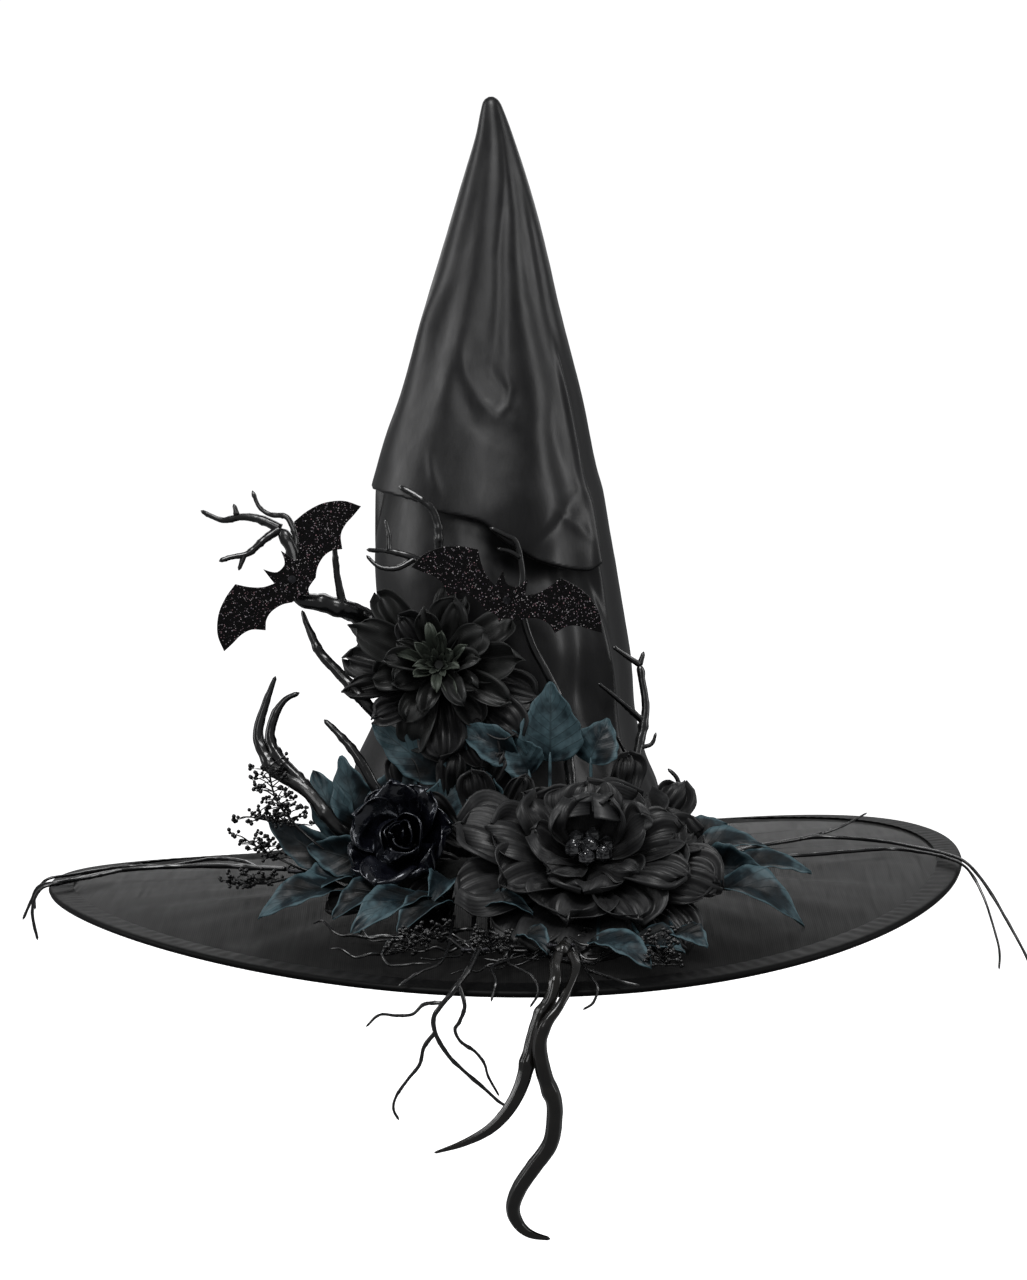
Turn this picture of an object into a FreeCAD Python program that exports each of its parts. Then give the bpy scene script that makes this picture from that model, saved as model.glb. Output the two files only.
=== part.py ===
import FreeCAD, Part
import math
import os

import Sketcher

# Witch's costume hat: a tall satin crown on a wide sheer brim, with fabric flowers, leaves, berry
# sprays, moulded twigs and two glitter bats massed at the front. Millimetres.
# The origin is the middle of the head opening where crown and brim meet. +Z runs up the crown,
# -Y is the front, +X is the right-hand side seen from the front.

os.makedirs("parts", exist_ok=True)
document = FreeCAD.newDocument("witch_hat")
sizes = document.addObject("Spreadsheet::Sheet", "sizes")

DRIVING_SIZES = [
    # alias, value, what it is
    ("crown_height", 493, "crown/brim seam to tip"),
    ("crown_base_radius", 105, "outside of the flared crown at the seam"),
    ("satin_thickness", 1.2, "crown satin with its fusible lining"),
    ("stiffener_thickness", 1.0, "buckram cone inside the satin"),
    ("layer_gap", 0.5, "air between two cloth layers"),
    ("head_radius", 92.3, "inside of the sweatband: a 58 cm head"),
    ("sweatband_height", 32, "above the seam"),
    ("sweatband_thickness", 1.5, "felt-backed ribbon"),
    ("sweatband_flange", 6.7, "turned out under the brim"),
    ("brim_inner_radius", 94.5, "edge of the organza round the sweatband"),
    ("brim_flat_radius", 105, "the brim is flat out to here"),
    ("brim_radius", 296, "outside of the bound edge"),
    ("organza_thickness", 0.8, "two stiffened layers"),
    ("binding_width", 16, "satin band folded over the rim"),
    ("binding_height", 4, "over both turns of the fold"),
    ("binding_cloth", 1.0, ""),
    ("rim_wire_radius", 0.9, "steel millinery wire"),
    ("pleat_height", 22, "gathered satin round the foot of the crown"),
    ("pleat_depth", 4.5, "at the seam"),
    ("foam_outer_radius", 148, "hidden floral block in front of the crown"),
    ("foam_top", 26, "height of the block"),
    ("foam_arc_degrees", 120, "round the front"),
    ("petal_thickness", 1.6, "one die-cut petal layer"),
    ("flower_core_radius", 3, "hole in every petal layer"),
    ("calyx_radius", 11, "cup under a flower"),
    ("calyx_stem", 14, "behind the cup"),
    ("dahlia_stem", 10.5, "short: the dahlia is sewn to the crown"),
    ("peony_radius", 80, "to the outer petal tips"),
    ("dahlia_radius", 50, "to the outer petal tips"),
    ("rose_radius", 29, "to the outer petal tips"),
    ("crystal_radius", 4.5, "faceted bead"),
    ("leaf_thickness", 0.8, "velvet on card"),
    ("leaf_stem_radius", 0.9, "taped wire"),
    ("berry_radius", 2.2, "moulded berry"),
    ("bat_span", 124, "wing tip to wing tip"),
    ("bat_thickness", 2, "glitter foam"),
    ("bat_hole_radius", 1.3, "for the wire it turns on"),
    ("bat_wire_radius", 0.8, "steel wire"),
    ("bat_knob_radius", 2.4, "wire coiled up to keep the bat on"),
    ("eye_radius", 2.6, "eye on the end of a twig that swings"),
    ("eye_length", 6, "along its pivot"),
    ("eye_bore_radius", 1.2, "runs on the pin"),
    ("pin_radius", 0.9, "end of the carrying wire, turned along the pivot"),
    ("pin_reach", 8.5, "from the wire's elbow to the middle of the eye"),
]
for row, (alias, value, meaning) in enumerate(DRIVING_SIZES, start=1):
    sizes.set("A%d" % row, alias)
    sizes.set("B%d" % row, str(value))
    sizes.set("C%d" % row, meaning)
    sizes.setAlias("B%d" % row, alias)
document.recompute()

# The rim's height: level + first and second harmonics of the angle from +X.
RIM_LEVEL = -17.0
RIM_TILT_X, RIM_TILT_Y = 2.4, -7.9
RIM_SADDLE, RIM_TWIST = 13.7, 7.4
RIM_STATIONS = 32
BRIM_DROOP_POWER = 1.2

# Places and facings of the pieces that stand on the hat.
FRONT = FreeCAD.Vector(0, -1, 0)
PEONY_SEAT, PEONY_FACING = (50, -160, 19), (0.08, -0.55, 0.83)
DAHLIA_SEAT, DAHLIA_FACING = (-36, -85, 138), (-0.1, -0.93, 0.36)
ROSE_SEAT, ROSE_FACING = (-60, -118, 30), (-0.2, -0.85, 0.45)
LEFT_BAT_CENTRE, LEFT_BAT_ROLL = (-126, -101, 199), 45
RIGHT_BAT_CENTRE, RIGHT_BAT_ROLL = (6, -116, 184), -20.7

# Pivots of the twigs that hang or lie loose on the brim, each on a wire pin.
ACROSS, BACKWARDS = FreeCAD.Vector(1, 0, 0), FreeCAD.Vector(0, 1, 0)
TENDRILS_PIVOT = (34, -258, -3)
ROOT_VINE_PIVOT = (-16, -266, -2.5)
BRIM_VINE_PIVOT = (-138, -32, 4.5)
GRASS_PIVOT = (147, -15, 4.5)


def size(alias):
    return float(sizes.get(alias))


# ---------------------------------------------------------------- sketch-based pieces

def named_body(label, seat=(0, 0, 0), facing=(0, 0, 1), roll=0.0):
    """A body whose own Z axis is turned to a facing, after a roll about it."""
    body = document.addObject("PartDesign::Body", label)
    body.Label = label
    turn = FreeCAD.Rotation(FreeCAD.Vector(0, 0, 1), FreeCAD.Vector(*facing))
    spin = FreeCAD.Rotation(FreeCAD.Vector(0, 0, 1), roll)
    body.Placement = FreeCAD.Placement(FreeCAD.Vector(*seat), turn * spin)
    return body


def origin_plane(body, role):
    return next(item for item in body.Origin.OriginFeatures if item.Role == role)


def outline_sketch(body, name, role, corners):
    """Closed outline whose corners are pairs of formulas in the sheet's sizes."""
    sketch = body.newObject("Sketcher::SketchObject", name)
    sketch.AttachmentSupport = [(origin_plane(body, role), "")]
    sketch.MapMode = "FlatFace"
    count = len(corners)
    for index in range(count):
        angle, after = (2 * math.pi * step / count for step in (index, index + 1))
        sketch.addGeometry(Part.LineSegment(
            FreeCAD.Vector(50 + 20 * math.cos(angle), 50 + 20 * math.sin(angle), 0),
            FreeCAD.Vector(50 + 20 * math.cos(after), 50 + 20 * math.sin(after), 0)))
    for index in range(count):
        sketch.addConstraint(Sketcher.Constraint("Coincident", index, 2, (index + 1) % count, 1))
    for index, formulas in enumerate(corners):
        for kind, written in zip(("DistanceX", "DistanceY"), formulas):
            number = sketch.addConstraint(Sketcher.Constraint(kind, -1, 1, index, 1, 50.0))
            sketch.setExpression("Constraints[%d]" % number, written)
    document.recompute()
    return sketch


def turned(label, corners, seat=(0, 0, 0), facing=(0, 0, 1), arc=None, arc_start=0.0):
    """Piece of revolution about its own Z axis; corners are (radius, height) formulas."""
    body = named_body(label, seat, facing, arc_start)
    sketch = outline_sketch(body, label + "_profile", "XZ_Plane", corners)
    revolution = body.newObject("PartDesign::Revolution", label + "_turned")
    revolution.Profile = sketch
    revolution.ReferenceAxis = (sketch, ["V_Axis"])
    if arc is None:
        revolution.Angle = 360
    else:
        revolution.setExpression("Angle", arc)
    document.recompute()
    return body


def formula(*terms):
    """Sum of terms; a term is a number, an alias, or (factor, alias)."""
    written = []
    for term in terms:
        if isinstance(term, tuple):
            written.append("%g * sizes.%s" % term)
        elif isinstance(term, str):
            written.append("sizes." + term)
        else:
            written.append("%g" % term)
    return " + ".join("(%s)" % term for term in written)


# Crown profile as fractions of the base radius and of the height.
CROWN_PROFILE = [
    (1.0, 0.0), (0.95, 0.097), (0.893, 0.14), (0.81, 0.193), (0.766, 0.266), (0.741, 0.351),
    (0.727, 0.41), (0.64, 0.515), (0.557, 0.61), (0.43, 0.714), (0.322, 0.8), (0.2, 0.89),
    (0.113, 0.949), (0.045, 0.992),
]


def crown_layer(label, inset, thickness_alias, outside_tip, inside_tip):
    """Hollow cone a few layers inside the crown profile; each tip is (share of height, least share
    of the base radius at which the profile still counts)."""
    def side(tip, *terms):
        height_share, least = tip
        points = [(formula((across, "crown_base_radius"), *terms), formula((up, "crown_height"), 0.3))
                  for across, up in CROWN_PROFILE if across > least]
        return points + [("0", formula((height_share, "crown_height")))]

    outside = side(outside_tip, *inset)
    inside = side(inside_tip, *inset, (-1, thickness_alias))
    return turned(label, outside + inside[::-1])


def make_crown():
    crown_layer("crown_shell", [], "satin_thickness", (1.0, 0.04), (0.955, 0.15))
    inset = [(-1, "satin_thickness"), (-1, "layer_gap")]
    crown_layer("crown_stiffener", inset, "stiffener_thickness", (0.945, 0.15), (0.88, 0.3))
    foot = "crown_base_radius"
    turned("gathered_band", [
        (formula(foot, 0.5), "0.4"),
        (formula(foot, "pleat_depth"), "0.4"),
        (formula(foot, 1.2), formula("pleat_height")),
        (formula((0.982, foot), 0.2), formula("pleat_height")),
    ])
    turned("sweatband", [
        (formula("head_radius"), "-2.6"),
        (formula("head_radius", "sweatband_flange"), "-2.6"),
        (formula("head_radius", "sweatband_flange"), "-1.4"),
        (formula("head_radius", "sweatband_thickness"), "-1.4"),
        (formula("head_radius", "sweatband_thickness"), formula("sweatband_height")),
        (formula("head_radius"), formula("sweatband_height")),
    ])


def make_foam():
    turned("floral_base", [
        (formula("crown_base_radius", "pleat_depth", 0.8), "0.6"),
        (formula("foam_outer_radius"), "0.6"),
        (formula("foam_outer_radius"), formula((0.6, "foam_top"))),
        (formula("foam_outer_radius", -16), formula("foam_top")),
        (formula("crown_base_radius", "pleat_depth", 0.8), formula("foam_top")),
    ], arc="sizes.foam_arc_degrees", arc_start=-90 - size("foam_arc_degrees") / 2)


# ---------------------------------------------------------------- brim, following the rim's wave

def rim_height(angle):
    return (RIM_LEVEL + RIM_TILT_X * math.cos(angle) + RIM_TILT_Y * math.sin(angle)
            + RIM_SADDLE * math.cos(2 * angle) + RIM_TWIST * math.sin(2 * angle))


def brim_height(radius, angle):
    reach = (radius - size("brim_flat_radius")) / (size("brim_radius") - size("brim_flat_radius"))
    return rim_height(angle) * max(0.0, reach) ** BRIM_DROOP_POWER


def brim_ring(radius, rise):
    """Closed smooth curve round the brim at one radius, a given rise above its surface."""
    points = []
    for station in range(RIM_STATIONS):
        angle = 2 * math.pi * station / RIM_STATIONS
        points.append(FreeCAD.Vector(radius * math.cos(angle), radius * math.sin(angle),
                                     brim_height(radius, angle) + rise))
    curve = Part.BSplineCurve()
    curve.interpolate(Points=points, PeriodicFlag=True)
    return curve.toShape()


def brim_piece(label, profile):
    """Solid ring with a closed profile of (radius, rise) corners carried round the brim."""
    rings = [brim_ring(radius, rise) for radius, rise in profile]
    faces = [Part.makeRuledSurface(rings[index], rings[(index + 1) % len(rings)])
             for index in range(len(rings))]
    shell = Part.makeShell(faces)
    shell.sewShape()
    solid = Part.makeSolid(shell)
    if solid.Volume < 0:
        solid.reverse()
    piece = document.addObject("Part::Feature", label)
    piece.Label = label
    piece.Shape = solid
    return piece


def make_brim():
    rim = size("brim_radius")
    cloth = size("binding_cloth")
    half = size("binding_height") / 2
    middle = -size("organza_thickness") / 2
    edge = rim - 5
    inner = size("brim_inner_radius")
    flat = size("brim_flat_radius")
    across = [inner, flat, flat + 40, flat + 90, flat + 140, edge]
    under = -size("organza_thickness")
    brim_piece("brim_fabric", [(radius, 0.0) for radius in across]
               + [(radius, under) for radius in reversed(across)])
    lip = rim - size("binding_width")
    brim_piece("brim_binding", [
        (lip, middle + half), (rim, middle + half), (rim, middle - half), (lip, middle - half),
        (lip, middle - half + cloth), (rim - cloth, middle - half + cloth),
        (rim - cloth, middle + half - cloth), (lip, middle + half - cloth)])
    wire = size("rim_wire_radius")
    centre = rim - cloth - wire - 0.4
    sides = 8
    brim_piece("brim_wire", [
        (centre + wire * math.cos(2 * math.pi * side / sides),
         middle + wire * math.sin(2 * math.pi * side / sides)) for side in range(sides)])


# ---------------------------------------------------------------- flowers

def petal_layer(label, seat, facing, radius, base, rim):
    """Dished layer of petals: radius is (share, alias); base and rim are heights above the seat."""
    share, alias = radius
    middle = base + 0.25 * (rim - base)
    upper = [(formula("flower_core_radius"), formula(base)),
             (formula((0.55 * share, alias)), formula(middle)),
             (formula((share, alias)), formula(rim))]
    lower = [(across, up + " - sizes.petal_thickness") for across, up in reversed(upper)]
    return turned(label, upper + lower, seat, facing)


def calyx(label, seat, facing, pin_top, stem_alias):
    """Cup that the petal layers are threaded on, with its stem behind."""
    pin = formula("flower_core_radius", -0.3)
    cup = formula("calyx_radius")
    return turned(label, [
        ("0", formula((-1, stem_alias))), (pin, formula((-1, stem_alias))), (pin, "-3"),
        (cup, "0.2"), (cup, "1.4"), (pin, "1.4"), (pin, formula(pin_top)), ("0", formula(pin_top)),
    ], seat, facing)


def ball_cluster(label, seat, facing, balls):
    """Balls given as (x, y, z, radius) above a seat."""
    solids = [Part.makeSphere(radius, FreeCAD.Vector(x, y, z)) for x, y, z, radius in balls]
    piece = document.addObject("Part::Feature", label)
    piece.Label = label
    piece.Shape = solids[0].multiFuse(solids[1:])
    turn = FreeCAD.Rotation(FreeCAD.Vector(0, 0, 1), FreeCAD.Vector(*facing))
    piece.Placement = FreeCAD.Placement(FreeCAD.Vector(*seat), turn)
    return piece


def ring_of_balls(count, reach, height, radius):
    return [(reach * math.cos(2 * math.pi * turn / count), reach * math.sin(2 * math.pi * turn / count),
             height, radius) for turn in range(count)]


def make_peony():
    seat, facing = PEONY_SEAT, PEONY_FACING
    calyx("peony_calyx", seat, facing, 14, "calyx_stem")
    petal_layer("peony_outer_petals", seat, facing, (1.0, "peony_radius"), 4, 22)
    petal_layer("peony_middle_petals", seat, facing, (0.73, "peony_radius"), 7.5, 34)
    petal_layer("peony_inner_petals", seat, facing, (0.46, "peony_radius"), 11, 39)
    bead = size("crystal_radius")
    ball_cluster("peony_beads", seat, facing, [(0, 0, 20, 1.2 * bead)]
                 + ring_of_balls(6, 1.9 * bead, 19, bead))


def make_dahlia():
    seat, facing = DAHLIA_SEAT, DAHLIA_FACING
    calyx("dahlia_calyx", seat, facing, 13, "dahlia_stem")
    petal_layer("dahlia_outer_petals", seat, facing, (1.0, "dahlia_radius"), 4, 18)
    petal_layer("dahlia_middle_petals", seat, facing, (0.76, "dahlia_radius"), 7.5, 26)
    petal_layer("dahlia_inner_petals", seat, facing, (0.52, "dahlia_radius"), 11, 30)
    ball_cluster("dahlia_centre", seat, facing, [(0, 0, 19, 5.5)] + ring_of_balls(5, 5.5, 20, 4))


def make_rose():
    seat, facing = ROSE_SEAT, ROSE_FACING
    calyx("rose_calyx", seat, facing, 8, "calyx_stem")
    petal_layer("rose_outer_petals", seat, facing, (1.0, "rose_radius"), 4, 22)
    turned("rose_bud", [("0", "8.4"), ("6", "9"), ("13", "14"), ("15", "22"), ("12", "30"),
                        ("5", "33"), ("0", "33")], seat, facing)


# ---------------------------------------------------------------- stems, twigs and leaves

def stem(route, root_radius, tip_radius):
    """Round tapering stem along a route, with a small knuckle at every point of it."""
    points = [FreeCAD.Vector(*point) for point in route]
    last = len(points) - 1
    radii = [root_radius + (tip_radius - root_radius) * index / last for index in range(last + 1)]
    solids = []
    for index in range(last + 1):
        onward = points[min(index, last - 1) + 1] - points[min(index, last - 1)]
        solids.append(Part.makeSphere(1.05 * radii[index] + 0.12, points[index], onward))
    for index in range(last):
        run = points[index + 1] - points[index]
        start, end = radii[index], radii[index + 1]
        if abs(start - end) < 0.01:
            solids.append(Part.makeCylinder(start, run.Length, points[index], run))
        else:
            solids.append(Part.makeCone(start, end, run.Length, points[index], run))
    return solids


def fused_piece(label, solids):
    piece = document.addObject("Part::Feature", label)
    piece.Label = label
    piece.Shape = solids[0].multiFuse(solids[1:]) if len(solids) > 1 else solids[0]
    return piece


def twig(label, *branches):
    """One moulded piece of several stems, each (route, root radius, tip radius)."""
    solids = []
    for route, root_radius, tip_radius in branches:
        solids += stem(route, root_radius, tip_radius)
    return fused_piece(label, solids)


def swinging_twig(label, pivot, axis, *branches):
    """A twig with an eye at its pivot, which turns on the pin of the wire that carries it."""
    length = size("eye_length")
    start = FreeCAD.Vector(*pivot) - axis * (length / 2)
    eye = Part.makeCylinder(size("eye_radius"), length, start, axis)
    bore = Part.makeCylinder(size("eye_bore_radius"), length + 2, start - axis, axis)
    solids = [eye.cut(bore)]
    for route, root_radius, tip_radius in branches:
        solids += stem(route, root_radius, tip_radius)
    return fused_piece(label, solids)


def pin_wire(label, route, radius, pivot, axis):
    """Carrying wire whose end turns along the pivot as a pin, with a bead that keeps the eye on."""
    reach = size("pin_reach")
    pin = size("pin_radius")
    elbow = FreeCAD.Vector(*pivot) - axis * reach
    length = reach + size("eye_length") / 2 + 2
    solids = stem(route + [tuple(elbow)], radius, radius)
    solids.append(Part.makeCylinder(pin, length, elbow, axis))
    solids.append(Part.makeSphere(1.6 * pin, elbow + axis * length, axis))
    return fused_piece(label, solids)


def make_upper_left_branch():
    twig("branch_upper_left",
         ([(-64, -60, 153), (-77, -70, 165), (-89, -84, 175), (-107, -90, 182), (-122, -88, 186),
           (-124, -84, 200), (-127, -80, 216), (-134, -76, 228)], 6.5, 3.6),
         ([(-134, -76, 228), (-146, -74, 234), (-158, -72, 236), (-169, -70, 234), (-176, -69, 236),
           (-184, -66, 240)], 3.2, 1.2),
         ([(-161, -72, 237), (-163, -70, 244)], 1.8, 1.2),
         ([(-134, -76, 228), (-144, -80, 222), (-154, -84, 214), (-165, -86, 212), (-172, -88, 210)],
          2.8, 1.3),
         ([(-156, -84, 214), (-160, -88, 204)], 1.8, 1.2),
         ([(-124, -82, 212), (-124, -80, 222), (-127, -78, 231), (-131, -76, 236), (-140, -74, 237),
           (-147, -72, 242), (-151, -70, 252)], 2.2, 1.1),
         ([(-96, -88, 180), (-99, -90, 200), (-100, -90, 218), (-102, -89, 227)], 2.6, 1.2))


def make_left_branches():
    twig("branch_spike_left",
         ([(-62, -66, 106), (-70, -84, 108), (-78, -98, 114), (-90, -96, 128), (-101, -92, 140),
           (-111, -88, 151), (-118, -84, 166), (-122, -80, 177)], 3.0, 0.9))
    twig("branch_horn_pair",
         ([(-68, -85, 28), (-85, -104, 31), (-101, -118, 44), (-120, -112, 67), (-135, -104, 76),
           (-144, -96, 83), (-151, -90, 96), (-151, -86, 106), (-146, -82, 121), (-140, -80, 136)],
          4.8, 1.4),
         ([(-112, -115, 58), (-125, -108, 74), (-137, -100, 86), (-144, -92, 98), (-141, -89, 112),
           (-134, -87, 122), (-125, -86, 126)], 3.6, 1.2))
    twig("branch_small_left",
         ([(-62, -98, 22), (-66, -106, 56), (-77, -121, 69), (-84, -121, 82), (-91, -118, 93),
           (-99, -114, 102), (-109, -110, 112)], 3.0, 1.4))


def make_crown_branches():
    twig("branch_crown_left",
         ([(-35, -76, 197), (-34, -85, 199), (-34, -92, 205), (-35, -93, 216), (-35, -92, 228),
           (-38, -91, 238), (-44, -90, 244), (-51, -88, 249), (-59, -84, 253)], 3.6, 1.6),
         ([(-34, -92, 205), (-44, -95, 206), (-54, -97, 211), (-66, -96, 214), (-80, -92, 215)],
          2.8, 1.1),
         ([(-50, -97, 209), (-61, -101, 204), (-72, -101, 205), (-80, -98, 212)], 2.0, 1.0),
         ([(-66, -96, 214), (-66, -94, 224), (-68, -92, 234)], 1.8, 1.0))
    twig("branch_crown_right",
         ([(42, -106, 22), (43, -95, 60), (41, -90, 88), (37, -95, 117), (30, -99, 135),
           (21, -98, 153), (16, -97, 171), (15, -95, 186), (16, -94, 200), (13, -93, 217),
           (6, -94, 222), (-3, -96, 227)], 3.6, 1.5),
         ([(15, -94, 208), (8, -95, 212), (1, -98, 214)], 1.8, 1.0))


def make_right_branches():
    twig("branch_right",
         ([(78, -80, 24), (80, -75, 57), (82, -72, 65), (86, -66, 80), (90, -60, 94), (92, -56, 108),
           (90, -52, 125), (89, -50, 133)], 4.0, 2.0),
         ([(89, -50, 133), (81, -54, 139), (72, -58, 146)], 1.9, 1.1),
         ([(89, -50, 133), (92, -48, 141)], 1.9, 1.2),
         ([(90, -58, 98), (76, -66, 112), (62, -73, 125)], 2.2, 1.0),
         ([(87, -65, 82), (95, -64, 84), (98, -62, 91)], 1.6, 0.9),
         ([(83, -70, 70), (77, -73, 82), (73, -76, 91)], 1.6, 0.9))
    twig("branch_right_tip",
         ([(92, -78, 24), (99, -84, 34), (107, -90, 43), (110, -88, 51), (111, -86, 59),
           (109, -85, 66), (104, -83, 71)], 2.4, 1.0))


def make_tendrils():
    swinging_twig("tendril_stem", TENDRILS_PIVOT, ACROSS,
                  ([(34, -264.6, -3), (32, -272, -4)], 4.2, 4.2))
    twig("tendril_horn",
         ([(30, -276, -5), (28, -288, -9), (28, -299, -14), (25, -304, -24), (18, -308, -36),
           (12, -312, -56), (7, -314, -72), (-1, -314, -86), (-12, -313, -97), (-27, -311, -105),
           (-44, -308, -111)], 4.0, 0.8))
    twig("tendril_long",
         ([(38.5, -275, -5.5), (40, -290, -10), (35, -305, -19), (29, -315, -27), (22, -320, -35),
           (18, -321, -47), (20, -320, -64), (25, -318, -80), (25, -316, -93), (22, -314, -107),
           (12, -312, -121), (4, -310, -133), (0, -308, -145), (3, -306, -155), (10, -306, -161),
           (21, -306, -164)], 3.4, 1.0))


def make_root_vine():
    swinging_twig(
        "root_vine", ROOT_VINE_PIVOT, ACROSS,
        ([(-16, -269.4, -2.5), (-21, -291, -8), (-30, -306, -17), (-38, -309, -26), (-42, -306, -33),
          (-41, -300, -44), (-35, -294, -57), (-27, -290, -67), (-16, -287, -78), (-5, -285, -89),
          (3, -285, -92)], 1.8, 0.8),
        ([(-41, -301, -42), (-48, -299, -51), (-51, -296, -62), (-58, -294, -71), (-65, -292, -81),
          (-67, -291, -89), (-64, -290, -96)], 1.3, 0.7),
        ([(-27, -303, -15), (-24, -307, -26), (-27, -305, -35), (-30, -302, -41), (-27, -298, -49),
          (-19, -294, -56), (-14, -291, -64), (-12, -289, -72), (-6, -288, -84)], 1.2, 0.7),
        ([(-36, -307, -24), (-47, -305, -25), (-54, -303, -31), (-63, -301, -32), (-73, -298, -32),
          (-81, -297, -39)], 1.1, 0.7))


def make_brim_vines():
    swinging_twig(
        "brim_vine_left", BRIM_VINE_PIVOT, BACKWARDS,
        ([(-141.4, -32, 4.5), (-165, -16, 3), (-187, -4, 2.5), (-222, 0, 2), (-250, -8, 2),
          (-268, -28, 2.4), (-281, -56, 4), (-295, -64, 2), (-301, -64, -12), (-299, -60, -32)],
          1.8, 0.9),
        ([(-222, 0, 2), (-245, 6, 2), (-264, -6, 2.2), (-281, -26, 3.2), (-295, -34, 2.2),
          (-303, -32, -8), (-304, -30, -18)], 1.3, 0.8),
        ([(-250, -8, 2), (-268, -42, 4), (-283, -58, 5), (-297, -58, 2.5), (-303, -55, -8),
          (-309, -52, -20)], 1.3, 0.8),
        ([(-160, -18, 3), (-172, 8, 3), (-190, 22, 2.6), (-206, 12, 2.4), (-222, 0, 2)], 1.2, 1.0))
    swinging_twig(
        "grass_spray", GRASS_PIVOT, BACKWARDS,
        ([(150.3, -15, 4.5), (165, 4, 4), (183, 20, 3.5), (207, 34, 3.5), (233, 26, 3), (252, 10, 3),
          (267, -10, 3), (282, -36, 3.4), (294, -60, 1), (304, -84, -11), (312, -100, -26),
          (324, -112, -50), (330, -118, -69)], 1.6, 0.8),
        ([(150.3, -15, 4.5), (170, -26, 3.5), (193, -30, 3.5), (221, -22, 3.5), (248, -14, 3),
          (265, -24, 3), (280, -46, 3), (292, -68, 0), (300, -86, -14), (305, -98, -32),
          (308, -104, -47), (307, -108, -58)], 1.4, 0.7),
        ([(195, 28, 3.5), (210, 38, 5), (226, 50, 8), (243, 62, 14)], 1.4, 0.6))


def make_rim_curls():
    twig("curl_vines_front",
         ([(3, -138, 9), (3, -200, -5), (1, -262, -10), (6, -282, -10), (15, -298, -12),
           (18, -304, -20), (13, -303, -29)], 1.3, 0.7),
         ([(1, -262, -10), (-8, -280, -10), (-6, -297, -15), (-9, -303, -25)], 1.1, 0.7),
         ([(-31, -190, 2), (-36, -262, -8), (-50, -284, -11), (-62, -297, -16)], 1.1, 0.7))
    twig("curl_vines_right",
         ([(41, -136, 8), (42, -190, -3), (43, -240, -12), (46, -270, -15), (48, -289, -15),
           (52, -301, -19), (49, -304, -27), (43, -304, -31)], 1.3, 0.7),
         ([(46, -270, -15), (56, -282, -16), (66, -291, -18), (76, -294, -20)], 1.1, 0.7))


def make_hidden_stems():
    """Wires on the brim, under the flowers, that carry the loose sprays."""
    pin_wire("tendril_wire", [(24, -140, 8), (27, -200, -4), (29, -236, -10)], 1.8,
             TENDRILS_PIVOT, ACROSS)
    pin_wire("root_vine_wire", [(-18, -140, 8), (-19, -200, -3), (-20, -246, -6)], 1.4,
             ROOT_VINE_PIVOT, ACROSS)
    pin_wire("grass_wire", [(106, -72, 10), (126, -44, 8), (140, -29, 5.5)], 1.5,
             GRASS_PIVOT, BACKWARDS)
    pin_wire("brim_vine_wire", [(-110, -70, 10), (-124, -54, 7), (-134, -45, 5)], 1.5,
             BRIM_VINE_PIVOT, BACKWARDS)


BERRIES_PER_SPRAY = 9


def berry_spray(label, routes):
    """Forked stalks with a berry at every step along their outer two thirds."""
    solids = []
    radius = size("berry_radius")
    for route in routes:
        solids += stem(route, 1.1, 0.7)
        points = [FreeCAD.Vector(*point) for point in route[-3:]]
        for number in range(BERRIES_PER_SPRAY):
            share = 2.0 * number / (BERRIES_PER_SPRAY - 1)
            run = min(int(share), 1)
            spot = points[run] + (points[run + 1] - points[run]) * (share - run)
            side = FreeCAD.Vector(0, 0, 1.6 * radius if number % 2 else -1.2 * radius)
            solids.append(Part.makeSphere(radius, spot + side))
            solids.append(Part.makeCylinder(0.5, side.Length, spot, side))
    return fused_piece(label, solids)


def make_berries():
    berry_spray("berry_sprig_left_upper", [
        [(-96, -92, 24), (-108, -118, 30), (-126, -116, 45), (-140, -110, 62), (-145, -106, 82)],
        [(-108, -118, 30), (-132, -114, 48), (-146, -110, 50), (-157, -108, 52)]])
    berry_spray("berry_sprig_left_lower", [
        [(-104, -82, 16), (-120, -98, 14), (-138, -98, 22), (-150, -92, 27), (-160, -88, 33)],
        [(-120, -98, 14), (-147, -96, 8), (-158, -92, 7), (-170, -88, 7)]])
    berry_spray("berry_sprig_front", [
        [(-30, -140, 8), (-34, -190, -1), (-44, -222, -2), (-52, -236, -4), (-60, -248, -7)],
        [(-9, -140, 8), (-10, -195, -2), (-9, -225, -5), (-8, -238, -6), (-8, -250, -8)]])
    berry_spray("berry_sprig_right", [
        [(80, -122, 8), (84, -190, -2), (88, -232, -8), (90, -250, -11), (92, -266, -15)]])


def leaf_blade(base, tip, width, facing, stem_root):
    """Pointed leaf from base to tip, its face turned towards a facing, with its wire stem."""
    start, end = FreeCAD.Vector(*base), FreeCAD.Vector(*tip)
    along = end - start
    across = along.cross(FreeCAD.Vector(*facing))
    across.normalize()
    middle = start + along * 0.45
    left, right = middle - across * (width / 2), middle + across * (width / 2)
    edge = Part.Wire([Part.Arc(start, left, end).toShape(), Part.Arc(end, right, start).toShape()])
    normal = across.cross(along)
    normal.normalize()
    blade = Part.Face(edge).extrude(normal * size("leaf_thickness"))
    radius = size("leaf_stem_radius")
    inner_end = start + along * 0.15
    root = FreeCAD.Vector(*stem_root)
    stalk = Part.makeCylinder(radius, (inner_end - root).Length, root, inner_end - root)
    return [blade, stalk]


def leaf_group(label, leaves):
    solids = []
    for leaf in leaves:
        solids += leaf_blade(*leaf)
    return fused_piece(label, solids)


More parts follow.
